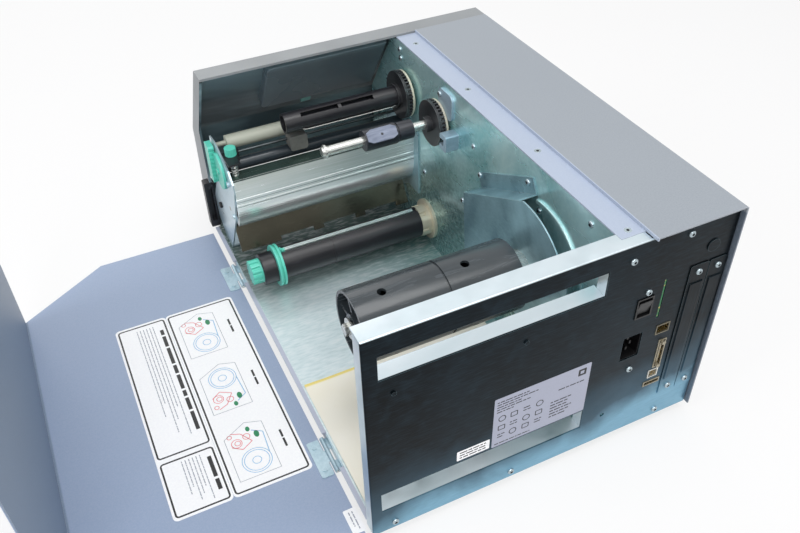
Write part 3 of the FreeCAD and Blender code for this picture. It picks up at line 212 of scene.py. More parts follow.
def wear_and_edge_highlight(g, base, light, radius=0.0005, share=0.6):
    """Base colour with its edges rubbed lighter: wear, and a painted highlight along the edges."""
    return g.mix(g.math("MULTIPLY", g.edges(radius), share), base, light)


def zinc(name, dark, light, brushed=(1, 1, 1), rough=0.33, streak=0.3, metallic=0.5, low=None):
    """Zinc-coated sheet: large soft clouds, fine brushing and a few pale smears.
    With `low` given, the sheet deepens to that colour towards the floor as painted shade."""
    g = Graph(name)
    g.set(Metallic=metallic)
    clouds = g.noise(5.0, 4.0, distortion=1.2)
    smears = g.noise(16.0, 5.0, (1, 0.6, 1.4), 0.8)
    lines = g.noise(240.0, 2.0, brushed)
    base = g.mix(g.ramp(clouds, 0.36, 0.64), dark, light)
    if low is not None:
        # Painted shade: darker towards the floor.
        floor_shade_height = g.math("ADD", g.axis("Z"), g.ramp(clouds, 0.25, 0.75, -0.03, 0.03))
        base = g.mix(g.ramp(floor_shade_height, 0.165, 0.115), base, low)
    base = g.mix(g.ramp(smears, 0.54, 0.74, 0.0, 0.45), base, shade(light, 1.2))
    base = g.mix(g.ramp(lines, 0.42, 0.7, 0.0, streak), base, shade(light, 1.08))
    g.colour(wear_and_edge_highlight(g, base, srgb(236, 244, 244)))
    g.roughness(g.ramp(smears, 0.3, 0.7, rough - 0.03, rough + 0.05))
    g.normal(g.bump(lines, 0.02, 0.0001))
    return g.material


def floor_zinc():
    """Base pan: painted light makes it pale towards the media edge, painted shade deeper teal beneath the
    printhead.
    """
    g = Graph("zinc_floor")
    g.set(Metallic=0.45)
    clouds = g.noise(10.0, 4.0, distortion=0.8)
    lines = g.noise(260.0, 3.0, (0.3, 1.2, 1.0))
    # Painted light: paler towards the open media side.
    reach = g.math("ADD", g.axis("X"), g.ramp(clouds, 0.25, 0.75, -0.03, 0.03))
    base = g.mix(g.ramp(reach, -0.05, 0.10), srgb(128, 168, 168), srgb(212, 228, 232))
    # Painted shade: deeper teal towards the front, beneath the printhead.
    base = g.mix(g.ramp(g.axis("Y"), -0.10, -0.19), base, srgb(92, 112, 108))
    base = g.mix(g.ramp(lines, 0.45, 0.7, 0.0, 0.5), base, srgb(242, 248, 250))
    base = g.mix(g.ramp(lines, 0.45, 0.3, 0.0, 0.16), base, srgb(128, 160, 162))
    g.colour(base)
    g.roughness(g.ramp(clouds, 0.3, 0.7, 0.32, 0.4))
    g.normal(g.bump(lines, 0.02, 0.0001))
    return g.material


def extrusion():
    """Aluminium beam: fine drawn lines, painted highlights on the groove lips with painted shade in the
    grooves, a painted reflection brightening the concave foot, and a darker painted reflection on the top
    face.
    """
    g = Graph("extruded_aluminium")
    g.set(Metallic=0.7)
    lines = g.noise(90.0, 3.0, (0.1, 8, 8))
    height = g.axis("Z")
    base = g.mix(g.ramp(lines, 0.35, 0.7), srgb(226, 232, 230), srgb(250, 252, 252))
    # Painted reflection: the foot brightens upwards to white.
    foot = g.mix(g.ramp(height, *BEAM_FOOT_REFLECTION), srgb(190, 198, 196), srgb(255, 255, 255))
    base = g.mix(g.ramp(height, 0.1262, 0.1250), base, foot)
    for line, bright in BEAM_GROOVE_LIGHTING:
        away = g.math("ABSOLUTE", g.math("SUBTRACT", height, line), 0.0)
        colour = srgb(252, 254, 254) if bright else srgb(112, 122, 120)
        base = g.mix(g.ramp(away, 0.0007, 0.0002, 0.0, 0.8), base, colour)
    # Painted reflection: the top face darker.
    base = g.mix(g.ramp(height, 0.1628, 0.1634), base, srgb(84, 104, 98))
    g.colour(wear_and_edge_highlight(g, base, srgb(250, 252, 252)))
    g.roughness(g.ramp(lines, 0.3, 0.7, 0.18, 0.28))
    g.normal(g.bump(lines, 0.08, 0.0002))
    return g.material


def holder_moulding():
    """Black core holder whose proud leaf is paler."""
    g = Graph("holder_moulding")
    y = g.math("SUBTRACT", g.axis("Y"), SUPPLY_AXIS[0])
    z = g.math("SUBTRACT", g.axis("Z"), SUPPLY_AXIS[1])
    out = g.math("SQRT", g.math("ADD", g.math("MULTIPLY", y, y), g.math("MULTIPLY", z, z)), 0.0)
    leaf = g.ramp(out, 0.01238, 0.01246)
    scratches = g.noise(46.0, 6.0, (0.6, 4, 4), 0.8)
    black = g.mix(g.ramp(scratches, 0.5, 0.75, 0.0, 0.4), srgb(38, 40, 46), srgb(84, 88, 96))
    pale = g.mix(g.ramp(scratches, 0.35, 0.7), srgb(104, 112, 132), srgb(146, 154, 174))
    g.colour(wear_and_edge_highlight(g, g.mix(leaf, black, pale), srgb(150, 156, 168), share=0.4))
    g.roughness(g.ramp(scratches, 0.3, 0.7, 0.28, 0.42))
    g.normal(g.bump(scratches, 0.05, 0.0002))
    return g.material


def moulded(name, colour, rough=0.42, grain=900.0, strength=0.12, sheen=None, scuff_and_highlight=1.35):
    """Moulded plastic: fine grain, slow colour drift, rubbed edges under a painted edge highlight, and light
    scratches that can carry a painted sheen.
    """
    g = Graph(name)
    drift = g.noise(14.0, 3.0)
    fine = g.noise(grain, 2.0)
    scratches = g.noise(46.0, 6.0, (0.6, 4, 4), 0.8)
    base = g.mix(g.ramp(drift, 0.3, 0.7), shade(colour, 0.9), shade(colour, 1.1))
    if sheen is not None:
        # Painted sheen: a lighter colour along the scratches.
        base = g.mix(g.ramp(scratches, 0.56, 0.74, 0.0, 0.35), base, sheen)
    # Edge colour: wear with a painted edge highlight.
    g.colour(wear_and_edge_highlight(g, base, shade(colour, scuff_and_highlight)))
    g.roughness(g.ramp(scratches, 0.3, 0.7, rough - 0.06, rough + 0.08))
    g.normal(g.bump(fine, strength, 0.0002))
    return g.material


def painted(g, base):
    """Finish of painted sheet over a base colour: orange peel, slow tone changes, worn edges under a painted
    edge highlight.
    """
    drift = g.noise(5.0, 4.0)
    peel = g.noise(700.0, 3.0)
    base = g.mix(g.ramp(drift, 0.3, 0.7, 0.0, 0.12), base, srgb(120, 128, 140))
    base = g.mix(g.ramp(peel, 0.35, 0.65, 0.0, 0.06), base, srgb(235, 238, 244))
    g.colour(wear_and_edge_highlight(g, base, srgb(222, 226, 232), share=0.4))
    g.set(Coat_Weight=0.12, Coat_Roughness=0.3)
    g.roughness(g.ramp(peel, 0.3, 0.7, 0.40, 0.53))
    g.normal(g.bump(peel, 0.08, 0.0003))
    return g.material


def outer_paint():
    """Grey cover paint; painted light makes the recessed strip bluer and lighter, and painted shade makes the
    inside of the side wall dark.
    """
    g = Graph("light_blue_grey_paint")
    # Painted light: the recessed strip lighter and bluer than the top.
    strip = g.ramp(g.axis("X"), -0.0862, -0.0858)
    base = g.mix(strip, srgb(142, 149, 157), srgb(166, 178, 198))
    # Painted shade: the inside of the side wall dark.
    below_top = g.ramp(g.axis("Z"), 0.2715, 0.2705)
    inside = g.math("MULTIPLY", g.ramp(g.axis("X"), -0.1846, -0.1842), below_top)
    base = g.mix(inside, base, srgb(92, 104, 118))
    return painted(g, base)


def door_paint():
    """Slate paint of the media cover, one colour outside; painted shade makes the top's inner face a tone
    deeper.
    """
    g = Graph("slate_blue_paint")
    x = g.axis("X")
    # Painted shade: the top panel's inner face a tone deeper.
    shaded_inner_face = g.math("MULTIPLY", g.ramp(x, 0.4505, 0.4520), g.ramp(x, 0.4544, 0.4540))
    return painted(g, g.mix(shaded_inner_face, srgb(146, 163, 191), srgb(112, 130, 154)))


def polished(name, colour, rough=0.22, turned=(1, 40, 40), metallic=0.9):
    """Bright turned or rolled metal with fine lines."""
    g = Graph(name)
    g.set(Metallic=metallic)
    lines = g.noise(70.0, 3.0, turned)
    smear = g.noise(25.0, 3.0)
    base = g.mix(g.ramp(smear, 0.3, 0.7), shade(colour, 0.82), shade(colour, 1.1))
    base = g.mix(g.ramp(lines, 0.4, 0.7, 0.0, 0.2), base, shade(colour, 0.6))
    g.colour(wear_and_edge_highlight(g, base, shade(colour, 1.3)))
    g.roughness(g.ramp(lines, 0.3, 0.7, rough - 0.06, rough + 0.12))
    g.normal(g.bump(lines, 0.08, 0.0002))
    return g.material


def rear_sheet(name, dark, mid, along):
    """Outer face of blue-black zinc that a painted reflection pales to light blue at its foot; plain zinc
    where it folds.
    """
    g = Graph(name)
    g.set(Metallic=0.9)
    clouds = g.noise(7.0, 5.0, distortion=0.8)
    mottle = g.noise(55.0, 4.0, distortion=0.5)
    lines = g.noise(90.0, 3.0, along)
    side = g.math("MULTIPLY", g.axis("X"), 0.12)
    height = g.math("ADD", g.axis("Z"), side)
    reflection_height = g.math("ADD", height, g.ramp(clouds, 0.25, 0.75, -0.03, 0.03))
    deep = g.mix(g.ramp(clouds, 0.35, 0.65), dark, mid)
    deep = g.mix(g.ramp(mottle, 0.52, 0.72, 0.0, 0.25), deep, srgb(44, 60, 70))
    # Painted reflection: the outer face pales to light blue towards its foot.
    base = g.mix(g.ramp(reflection_height, 0.125, 0.05), deep, srgb(66, 92, 108))
    base = g.mix(g.ramp(reflection_height, 0.055, 0.018), base, srgb(128, 174, 198))
    base = g.mix(g.ramp(lines, 0.45, 0.7, 0.0, 0.12), base, srgb(62, 86, 100))
    folded = g.math("MAXIMUM", g.ramp(g.axis("Y"), 0.2397, 0.2393), g.ramp(g.axis("Z"), 0.2722, 0.2730))
    pale = g.mix(g.ramp(clouds, 0.35, 0.65), srgb(192, 208, 214), srgb(222, 231, 237))
    g.colour(wear_and_edge_highlight(g, g.mix(folded, base, pale), srgb(120, 146, 156), 0.0007, 0.5))
    g.roughness(g.ramp(mottle, 0.3, 0.7, 0.28, 0.42))
    g.normal(g.bump(lines, 0.04, 0.0003))
    return g.material


def bezel_moulding():
    """Grey outside; glossy charcoal on the faces that look into the machine, with pale blue-white painted
    reflections on it.
    """
    g = Graph("grey_bezel")
    drift = g.noise(14.0, 3.0)
    fine = g.noise(500.0, 2.0)
    geometry = g.add("ShaderNodeNewGeometry")
    normal = g.add("ShaderNodeSeparateXYZ")
    g.link(geometry.outputs["True Normal"], normal.inputs["Vector"])
    inward = g.math("MAXIMUM", g.ramp(normal.outputs["Y"], 0.03, 0.05),
                    g.ramp(normal.outputs["Z"], -0.6, -0.7))
    within = g.math("MULTIPLY", inward, g.ramp(g.axis("Y"), -0.2182, -0.2186))
    outside = g.mix(g.ramp(drift, 0.3, 0.7), srgb(132, 136, 139), srgb(144, 148, 151))
    outside = wear_and_edge_highlight(g, outside, srgb(200, 204, 206))
    # Painted reflection: pale blue-white patches on the inner charcoal.
    reflection_streaks = g.noise(6.0, 3.0, (0.5, 2, 2), 0.8)
    inside = g.mix(g.ramp(reflection_streaks, 0.4, 0.7), srgb(66, 80, 86), srgb(150, 176, 184))
    brow = g.ramp(g.axis("Z"), 0.268, 0.2715)
    inside = g.mix(brow, inside, srgb(30, 36, 40))
    g.colour(g.mix(within, outside, inside))
    g.roughness(g.ramp(within, 0.0, 1.0, 0.45, 0.2))
    g.normal(g.bump(fine, 0.15, 0.0002))
    return g.material


def housing_panel():
    """Satin charcoal housing with a painted highlight as a paler rim at its top, and a teal catch on its
    lower edge.
    """
    g = Graph("charcoal_panel")
    drift = g.noise(9.0, 3.0)
    grain = g.noise(600.0, 2.0)
    base = g.mix(g.ramp(drift, 0.3, 0.7), srgb(92, 104, 112), srgb(112, 126, 134))
    # Painted highlight: the rim at the top paler.
    base = g.mix(g.ramp(g.axis("Z"), 0.250, 0.262), base, srgb(124, 146, 154))
    x = g.axis("X")
    catch = g.math("MULTIPLY", g.ramp(g.axis("Z"), 0.1788, 0.1782), g.ramp(x, 0.0305, 0.0310))
    catch = g.math("MULTIPLY", catch, g.ramp(x, 0.0445, 0.0440))
    base = g.mix(catch, base, srgb(110, 190, 184))
    g.colour(wear_and_edge_highlight(g, base, srgb(176, 194, 200), 0.0009, 0.75))
    g.roughness(g.ramp(drift, 0.3, 0.7, 0.2, 0.3))
    g.normal(g.bump(grain, 0.05, 0.0002))
    return g.material


def paper_sheet():
    g = Graph("liner_paper")
    fibres = g.noise(400.0, 5.0)
    waves = g.noise(12.0, 3.0)
    base = g.mix(g.ramp(waves, 0.3, 0.7), srgb(250, 244, 226), srgb(255, 251, 240))
    rim = g.ramp(g.axis("Y"), 0.0445, 0.0425)
    edge = g.math("MAXIMUM", rim, g.ramp(g.axis("Y"), 0.2235, 0.2245))
    base = g.mix(edge, base, srgb(242, 222, 128))
    g.colour(base)
    g.roughness(g.ramp(fibres, 0.3, 0.7, 0.45, 0.62))
    g.normal(g.bump(fibres, 0.1, 0.0002))
    return g.material


def circuit_board():
    g = Graph("circuit_board_green")
    patches = g.cells(260.0, (1, 1, 3))
    tracks = g.noise(300.0, 2.0, (1, 1, 8))
    base = g.mix(g.ramp(patches, 0.75, 0.8), srgb(26, 104, 60), srgb(200, 170, 90))
    base = g.mix(g.ramp(tracks, 0.5, 0.56, 0.0, 0.4), base, srgb(60, 150, 96))
    g.colour(base)
    g.roughness(g.ramp(tracks, 0.3, 0.7, 0.3, 0.5))
    g.normal(g.bump(patches, 0.3, 0.0004))
    return g.material


def connector(name, shell, body, along):
    """Plug socket: bright shell in front of a dark insert, with gold contacts in rows."""
    g = Graph(name)
    g.set(Metallic=0.6)
    smear = g.noise(160.0, 3.0)
    rows = g.noise(900.0, 1.0, along)
    insert = g.mix(g.ramp(rows, 0.52, 0.6), body, srgb(206, 178, 112))
    inside = g.ramp(g.axis("Y"), SHELL_FRONT, SHELL_FRONT - 0.0004)
    base = g.mix(inside, g.mix(g.ramp(smear, 0.35, 0.65), shade(shell, 0.75), shell), insert)
    g.colour(wear_and_edge_highlight(g, base, shade(shell, 1.3), 0.0004))
    g.roughness(g.ramp(smear, 0.3, 0.7, 0.25, 0.45))
    g.normal(g.bump(smear, 0.1, 0.0002))
    return g.material


def ribbon_disc():
    """Black toothed disc on a cream boss; the two meet at a plane across the shaft."""
    g = Graph("disc_moulding")
    drift = g.noise(30.0, 3.0)
    grain = g.noise(800.0, 2.0)
    boss = g.ramp(g.axis("X"), DISC_BACK + 0.0001, DISC_BACK - 0.0001)
    base = g.mix(boss, srgb(30, 30, 33), CREAM_ZINC)
    base = g.mix(g.ramp(drift, 0.3, 0.7, 0.0, 0.25), base, srgb(92, 96, 100))
    g.colour(wear_and_edge_highlight(g, base, srgb(190, 194, 196), share=0.35))
    g.roughness(g.ramp(drift, 0.3, 0.7, 0.32, 0.46))
    g.normal(g.bump(grain, 0.1, 0.0002))
    return g.material


def rewinder_teal():
    """Teal flange whose upper leg is a bright metal bar."""
    g = Graph("rewinder_flange_teal")
    drift = g.noise(30.0, 3.0)
    grain = g.noise(800.0, 2.0)
    base = g.mix(g.ramp(drift, 0.3, 0.7), shade(TEAL, 0.88), shade(TEAL, 1.12))
    upper = g.ramp(g.axis("Z"), 0.0685, 0.0695)
    inboard = g.ramp(g.axis("X"), 0.141, 0.138)
    bar = g.math("MULTIPLY", upper, inboard)
    g.colour(g.mix(bar, base, srgb(226, 238, 236)))
    g.link(bar, g.shader.inputs["Metallic"])
    g.roughness(g.ramp(drift, 0.3, 0.7, 0.32, 0.45))
    g.normal(g.bump(grain, 0.1, 0.0002))
    return g.material


def smoked_window():
    g = Graph("smoked_window")
    smear = g.noise(20.0, 4.0)
    g.colour(g.mix(g.ramp(smear, 0.3, 0.7), srgb(30, 42, 40), srgb(44, 60, 56)))
    g.set(Coat_Weight=0.8, Coat_Roughness=0.05)
    g.roughness(g.ramp(smear, 0.3, 0.7, 0.08, 0.18))
    return g.material


def label_stock(name, colour):
    """Printed film or ink: faint mottling and a satin face."""
    g = Graph(name)
    mottle = g.noise(420.0, 3.0)
    g.colour(g.mix(g.ramp(mottle, 0.3, 0.7), shade(colour, 0.96), shade(colour, 1.02)))
    g.roughness(g.ramp(mottle, 0.3, 0.7, 0.34, 0.48))
    g.normal(g.bump(mottle, 0.04, 0.0001))
    return g.material


def make_metals():
    return {
        # The wall's `low` colour is painted shade near the floor.
        "zinc": zinc("zinc_sheet", srgb(132, 188, 192), srgb(214, 246, 248), rough=0.26, metallic=0.62,
                     low=srgb(104, 140, 140)),
        "floor": floor_zinc(),
        "plate": zinc("zinc_plate", srgb(80, 112, 124), srgb(156, 192, 202), (1, 1, 6), 0.3),
        "hinge": zinc("zinc_hinge", srgb(150, 180, 194), srgb(206, 224, 232), (1, 1, 6), 0.3),
        "rear": rear_sheet("rear_zinc", srgb(10, 17, 21), srgb(22, 33, 40), (1, 1, 10)),
        "blank": rear_sheet("blank_zinc", srgb(10, 16, 20), srgb(22, 31, 37), (14, 1, 0.4)),
        "bright": polished("bright_steel", SILVER),
        "screw": polished("screw_zinc", srgb(176, 190, 196), 0.2),
        "dim_steel": polished("dim_steel", srgb(84, 90, 92), 0.3),
        "beam": extrusion(),
        "brass": polished("gold_plate", srgb(212, 178, 110)),
        "olive": polished("yellow_zinc", srgb(150, 146, 122), 0.35, metallic=0.5),
        "guide": polished("dark_guide_zinc", srgb(74, 72, 62), 0.16, (2, 20, 20), 0.8),
        "mount": polished("cream_zinc", CREAM_ZINC, 0.35, metallic=0.45),
        "bracket": zinc("blue_zinc", srgb(140, 164, 180), srgb(182, 202, 216), (1, 1, 6), 0.35),
        "diecast": polished("grey_diecast", srgb(122, 122, 118), 0.5, (4, 4, 4), 0.4),
    }


def make_paints_and_mouldings():
    return {
        "light_paint": outer_paint(),
        "door_paint": door_paint(),
        "skirt_paint": painted(Graph("lavender_paint"), srgb(186, 192, 210)),
        "bezel": bezel_moulding(),
        "key": moulded("grey_key", srgb(150, 152, 153), 0.45, 500.0, 0.2),
        "black": moulded("black_moulding", srgb(34, 34, 38), 0.36, sheen=srgb(66, 66, 74)),
        "hub": moulded("hub_moulding", srgb(60, 66, 70), 0.22, sheen=srgb(90, 98, 104), scuff_and_highlight=1.6),
        "holder": holder_moulding(),
        "charcoal": moulded("charcoal_moulding", srgb(46, 54, 60), 0.3, 300.0, 0.05),
        "panel": housing_panel(),
        "dark": moulded("dark_moulding", srgb(18, 18, 20), 0.4),
        "disc": ribbon_disc(),
        "teal": moulded("teal_moulding", TEAL, 0.35, scuff_and_highlight=1.15),
        "white": moulded("white_moulding", srgb(222, 222, 214), 0.4, scuff_and_highlight=1.05),
        "beige": moulded("beige_roller_moulding", srgb(184, 188, 174), 0.45, scuff_and_highlight=1.1),
        "rubber": moulded("black_rubber", srgb(30, 30, 32), 0.7, 1400.0, 0.3),
        "rewinder_flange": rewinder_teal(),
        "window": smoked_window(),
    }


def make_electrics_and_labels():
    return {
        "board": circuit_board(),
        "paper": paper_sheet(),
        "d_shell": connector("d_shell", srgb(168, 160, 140), srgb(44, 38, 30), (1, 1, 1)),
        "jack_shell": connector("jack_shell", srgb(124, 118, 102), srgb(40, 34, 26), (6, 1, 1)),
        "usb_shell": connector("usb_shell", srgb(222, 222, 216), srgb(200, 198, 188), (1, 1, 6)),
        "label": label_stock("label_white", srgb(252, 252, 255)),
        "rating": label_stock("label_lavender", srgb(166, 170, 188)),
        "ink": label_stock("label_ink", srgb(12, 14, 18)),
        "soft_ink": label_stock("label_grey_ink", srgb(150, 154, 166)),
        "red": label_stock("label_red", srgb(226, 120, 126)),
        "green": label_stock("label_green", srgb(24, 128, 84)),
        "blue": label_stock("label_blue", srgb(140, 186, 224)),
    }


MATERIALS = {**make_metals(), **make_paints_and_mouldings(), **make_electrics_and_labels()}
NODE_MATERIALS = {
    "base_pan": "floor", "side_skirt": "skirt_paint", "rubber_feet": "rubber", "centre_wall": "zinc",
    "rear_panel": "rear", "slot_covers": "blank", "electronics_cover": "light_paint",
    "chassis_screws": "bright", "front_bezel": "bezel", "corner_frame": "black",
    "display_housing": "panel", "display_window": "window", "feed_key": "key",
    "menu_key": "key", "power_inlet": "dark", "power_switch": "dark", "power_rocker": "dark",
    "network_port": "jack_shell", "parallel_port": "d_shell", "usb_port": "usb_shell",
    "serial_port": "d_shell",
    "main_board": "board", "power_supply": "plate", "stepper_motor": "black",
    "motor_pinion": "brass", "platen_gear": "white", "outer_side_plate": "hinge",
    "inner_side_plate": "plate", "head_beam": "beam", "printhead": "olive",
    "platen_roller": "rubber", "tear_bar": "bright", "media_guide": "guide",
    "ribbon_roller": "beige", "ribbon_rod": "dim_steel", "pressure_bar": "charcoal",
    "pressure_block": "diecast", "head_lever": "teal", "pressure_bracket": "black",
    "pressure_knob": "teal", "pressure_spring": "bright", "ribbon_supply_shaft": "bright",
    "ribbon_core_holder": "holder", "ribbon_supply_disc": "disc", "ribbon_takeup_spindle": "black",
    "ribbon_takeup_disc": "disc", "ribbon_sensor": "bracket", "ribbon_bracket": "bracket",
    "rewinder_mount": "mount", "rewinder_spindle": "black", "rewinder_flange": "rewinder_flange",
    "rewinder_knob": "teal", "hub_plate": "plate", "media_hub_axle": "bright",
    "media_hub": "hub", "floor_liner": "paper", "media_cover": "door_paint",
    "cover_hinge_leaves": "hinge", "base_hinge_leaves": "hinge", "hinge_pins": "bright",
}

for node_name, material_name in NODE_MATERIALS.items():
    NODES[node_name].data.materials.clear()
    NODES[node_name].data.materials.append(MATERIALS[material_name])


# ---- mesh helpers -------------------------------------------------------------
CREASE = math.radians(35)      # an edge that turns more than this stays sharp
BAR_SIDES = 8                  # sides of a round bar
CORNER_STEPS = 6               # steps round one corner of an outline


class Solids:
    """Gathers closed solids into one mesh."""

    def __init__(self, place=None):
        self.mesh = bmesh.new()
        self.place = place or Matrix()

    def loft(self, loops, material=0, ring=False, place=None, inner=0):
        """Skin between loops of points; the ends are capped unless the loops close in a ring.
        The last `inner` strips and the end cap take the next material."""
        place = place or self.place
        rows = [[self.mesh.verts.new(place @ Vector(p)) for p in loop] for loop in loops]
        pairs = list(zip(rows, rows[1:]))
        if ring:
            pairs.append((rows[-1], rows[0]))
        faces = []
        for low, high in pairs:
            for i in range(len(low)):
                j = (i + 1) % len(low)
                faces.append(self.mesh.faces.new((low[i], low[j], high[j], high[i])))
        if not ring:
            faces.append(self.mesh.faces.new(rows[0][::-1]))
            faces.append(self.mesh.faces.new(rows[-1]))
        for face in faces:
            face.material_index = material
        if inner:
            sides = len(loops[0])
            for face in faces[(len(pairs) - inner) * sides:-2] + faces[-1:]:
                face.material_index = material + 1

    def prism(self, outline, low, high, material=0):
        self.loft([[(x, y, z) for x, y in outline] for z in (low, high)], material)

    def band(self, outer, inner, low, high, material=0):
        """Flat band between two outlines with as many points each."""
        loops = [(outer, low), (outer, high), (inner, high), (inner, low)]
        self.loft([[(x, y, z) for x, y in outline] for outline, z in loops], material, ring=True)

    def tube(self, path, radius):
        """Round bar that follows a path."""
        loops = []
        for i, point in enumerate(path):
            ahead = path[min(i + 1, len(path) - 1)]
            behind = path[max(i - 1, 0)]
            tangent = (Vector(ahead) - Vector(behind)).normalized()
            side = tangent.cross(Vector((0.2, 0.1, 1.0))).normalized()
            up = side.cross(tangent)
            turns = [2 * math.pi * k / BAR_SIDES for k in range(BAR_SIDES)]
            loops.append([Vector(point) + (side * math.cos(t) + up * math.sin(t)) * radius for t in turns])
        self.loft(loops)

    def piece(self, name, materials, body, slot, replaces=None):
        """The finished object, riding on a body."""
        bmesh.ops.recalc_face_normals(self.mesh, faces=self.mesh.faces)
        for face in self.mesh.faces:
            face.smooth = True
        for edge in self.mesh.edges:
            edge.smooth = edge.calc_face_angle(0.0) < CREASE
        mesh = bpy.data.meshes.new(name)
        self.mesh.to_mesh(mesh)
        self.mesh.free()
        for material in materials:
            mesh.materials.append(MATERIALS[material])
        piece = bpy.data.objects.new(name, mesh)
        bpy.context.scene.collection.objects.link(piece)
        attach(piece, body)
        if replaces:
            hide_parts(replaces)
        return piece


def rounded(x0, x1, y0, y1, radius):
    """Outline of a rectangle with round corners."""
    corners = [(x1 - radius, y1 - radius, 0), (x0 + radius, y1 - radius, 90),
               (x0 + radius, y0 + radius, 180), (x1 - radius, y0 + radius, 270)]
    points = []
    for x, y, start in corners:
        for i in range(CORNER_STEPS + 1):
            angle = math.radians(start + 90 * i / CORNER_STEPS)
            points.append((x + radius * math.cos(angle), y + radius * math.sin(angle)))
    return points


def circle(x, y, radius, count=28, squash=1.0):
    return [(x + radius * math.cos(2 * math.pi * i / count),
             y + squash * radius * math.sin(2 * math.pi * i / count)) for i in range(count)]


# ---- screws -------------------------------------------------------------------
SCREW_SIDES = 24
FLUSH_TOP = (0.2730, 0.2736)           # Z of the countersunk heads on the top sheet
REAR_FACE = 0.2415                     # Y past which a screw looks backwards
PAN_HEAD = [(1.9, -6.0), (1.9, -0.1), (3.6, 0.0), (3.6, 0.7), (3.45, 1.3), (3.0, 1.8), (2.3, 2.1), (1.9, 2.2)]
FLUSH_HEAD = [(1.9, -6.0), (1.9, -1.1), (3.65, -0.12), (3.6, -0.04), (2.0, 0.0)]


def round_loop(radius, height):
    return [(x, y, height) for x, y in circle(0, 0, radius, SCREW_SIDES)]


def star_loop(radius, height):
    """Outline of a six-lobed drive recess."""
    points = []
    for i in range(SCREW_SIDES):
        angle = 2 * math.pi * i / SCREW_SIDES
        reach = radius * (1 + 0.16 * math.cos(6 * angle))
        points.append((reach * math.cos(angle), reach * math.sin(angle), height))
    return points


def islands(node):
    """Lowest and highest corners of each separate solid of a CAD node."""
    mesh = bmesh.new()
    mesh.from_mesh(NODES[node].data)
    bmesh.ops.remove_doubles(mesh, verts=mesh.verts, dist=0.00001)
    waiting = set(mesh.verts)
    found = []
    while waiting:
        group = []
        frontier = [waiting.pop()]
        while frontier:
            vertex = frontier.pop()
            group.append(vertex.co.copy())
            for edge in vertex.link_edges:
                other = edge.other_vert(vertex)
                if other in waiting:
                    waiting.remove(other)
                    frontier.append(other)
        found.append([Vector(f(p[i] for p in group) for i in range(3)) for f in (min, max)])
    mesh.free()
    return sorted(found, key=lambda pair: tuple(round(c, 4) for c in pair[0]))


def make_screws():
    """Six-lobe screws where the CAD has its plain ones, with painted shade darkening the drive recess."""
    quarter = math.radians(90)
    facings = (Matrix.Rotation(quarter, 4, "Y"), Matrix.Rotation(-quarter, 4, "X"), Matrix())
    solids = Solids()
    for number, (low, high) in enumerate(islands("chassis_screws")):
        middle = (low + high) / 2
        flush = FLUSH_TOP[0] < high.z < FLUSH_TOP[1]
        axis = 2 if flush else (1 if high.y > REAR_FACE else 0)
        profile, drive = (FLUSH_HEAD, -1.0) if flush else (PAN_HEAD, 1.0)
        seat = middle.copy()
        seat[axis] = high[axis] - profile[-1][1] * MM
        roll = Matrix.Rotation(number * 0.7, 4, "Z")
        place = Matrix.Translation(seat) @ facings[axis] @ roll @ Matrix.Scale(MM, 4)
        top = profile[-1][1]
        loops = [round_loop(r, h) for r, h in profile] + [star_loop(1.45, top), star_loop(1.3, drive)]
        # The recess walls and floor take the near-black moulding: painted shade.
        solids.loft(loops, place=place, inner=1)
    solids.piece("drive_screws", ["screw", "dark"], "chassis", "bright_steel", "chassis_screws")


# ---- spring and core spring ------------------------------------------------------
def make_spring():
    """Coil spring between the head beam and its bracket."""
    low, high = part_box("pressure_spring")
    wire = 0.0006
    radius = (high[0] - low[0]) / 2 - wire
    x = (low[0] + high[0]) / 2
    y = (low[1] + high[1]) / 2
    turns = 6
    steps = 16
    path = []
    for i in range(turns * steps + 1):
        share = i / (turns * steps)
        angle = 2 * math.pi * turns * share
        eased = share - math.sin(2 * math.pi * share) / (2 * math.pi) * 0.6
        z = low[2] + wire + (high[2] - low[2] - 2 * wire) * eased
        path.append((x + radius * math.cos(angle), y + radius * math.sin(angle), z))
    solids = Solids()
    solids.tube(path, wire)
    solids.piece("coil_spring", ["bright"], body_of(NODES["pressure_spring"])[0], "bright_steel",
                 "pressure_spring")


def make_core_spring():
    """Flat leaf along the take-up spindle that grips the ribbon core."""
    low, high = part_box("ribbon_takeup_spindle")
    centre_y = -0.189
    centre_z = 0.2116
    radius = 0.0124
    half_width = 0.0018
    half_thick = 0.00025
    angle = math.radians(-48)
    outward = Vector((0, math.cos(angle), math.sin(angle)))
    across = Vector((0, -math.sin(angle), math.cos(angle)))
    start = low[0] + 0.034
    end = high[0] - 0.020
    stations = [(start, -0.0006), (start + 0.006, 0.0010), (end - 0.006, 0.0010), (end, -0.0006)]
    loops = []
    for x, proud in stations:
        middle = Vector((x, centre_y, centre_z)) + outward * (radius + proud)
        loops.append([middle + across * (s * half_width) + outward * (t * half_thick)
                      for s, t in ((-1, -1), (1, -1), (1, 1), (-1, 1))])
    solids = Solids()
    solids.loft(loops)
    solids.piece("core_leaf", ["bright"], body_of(NODES["ribbon_takeup_spindle"])[0], "bright_steel")


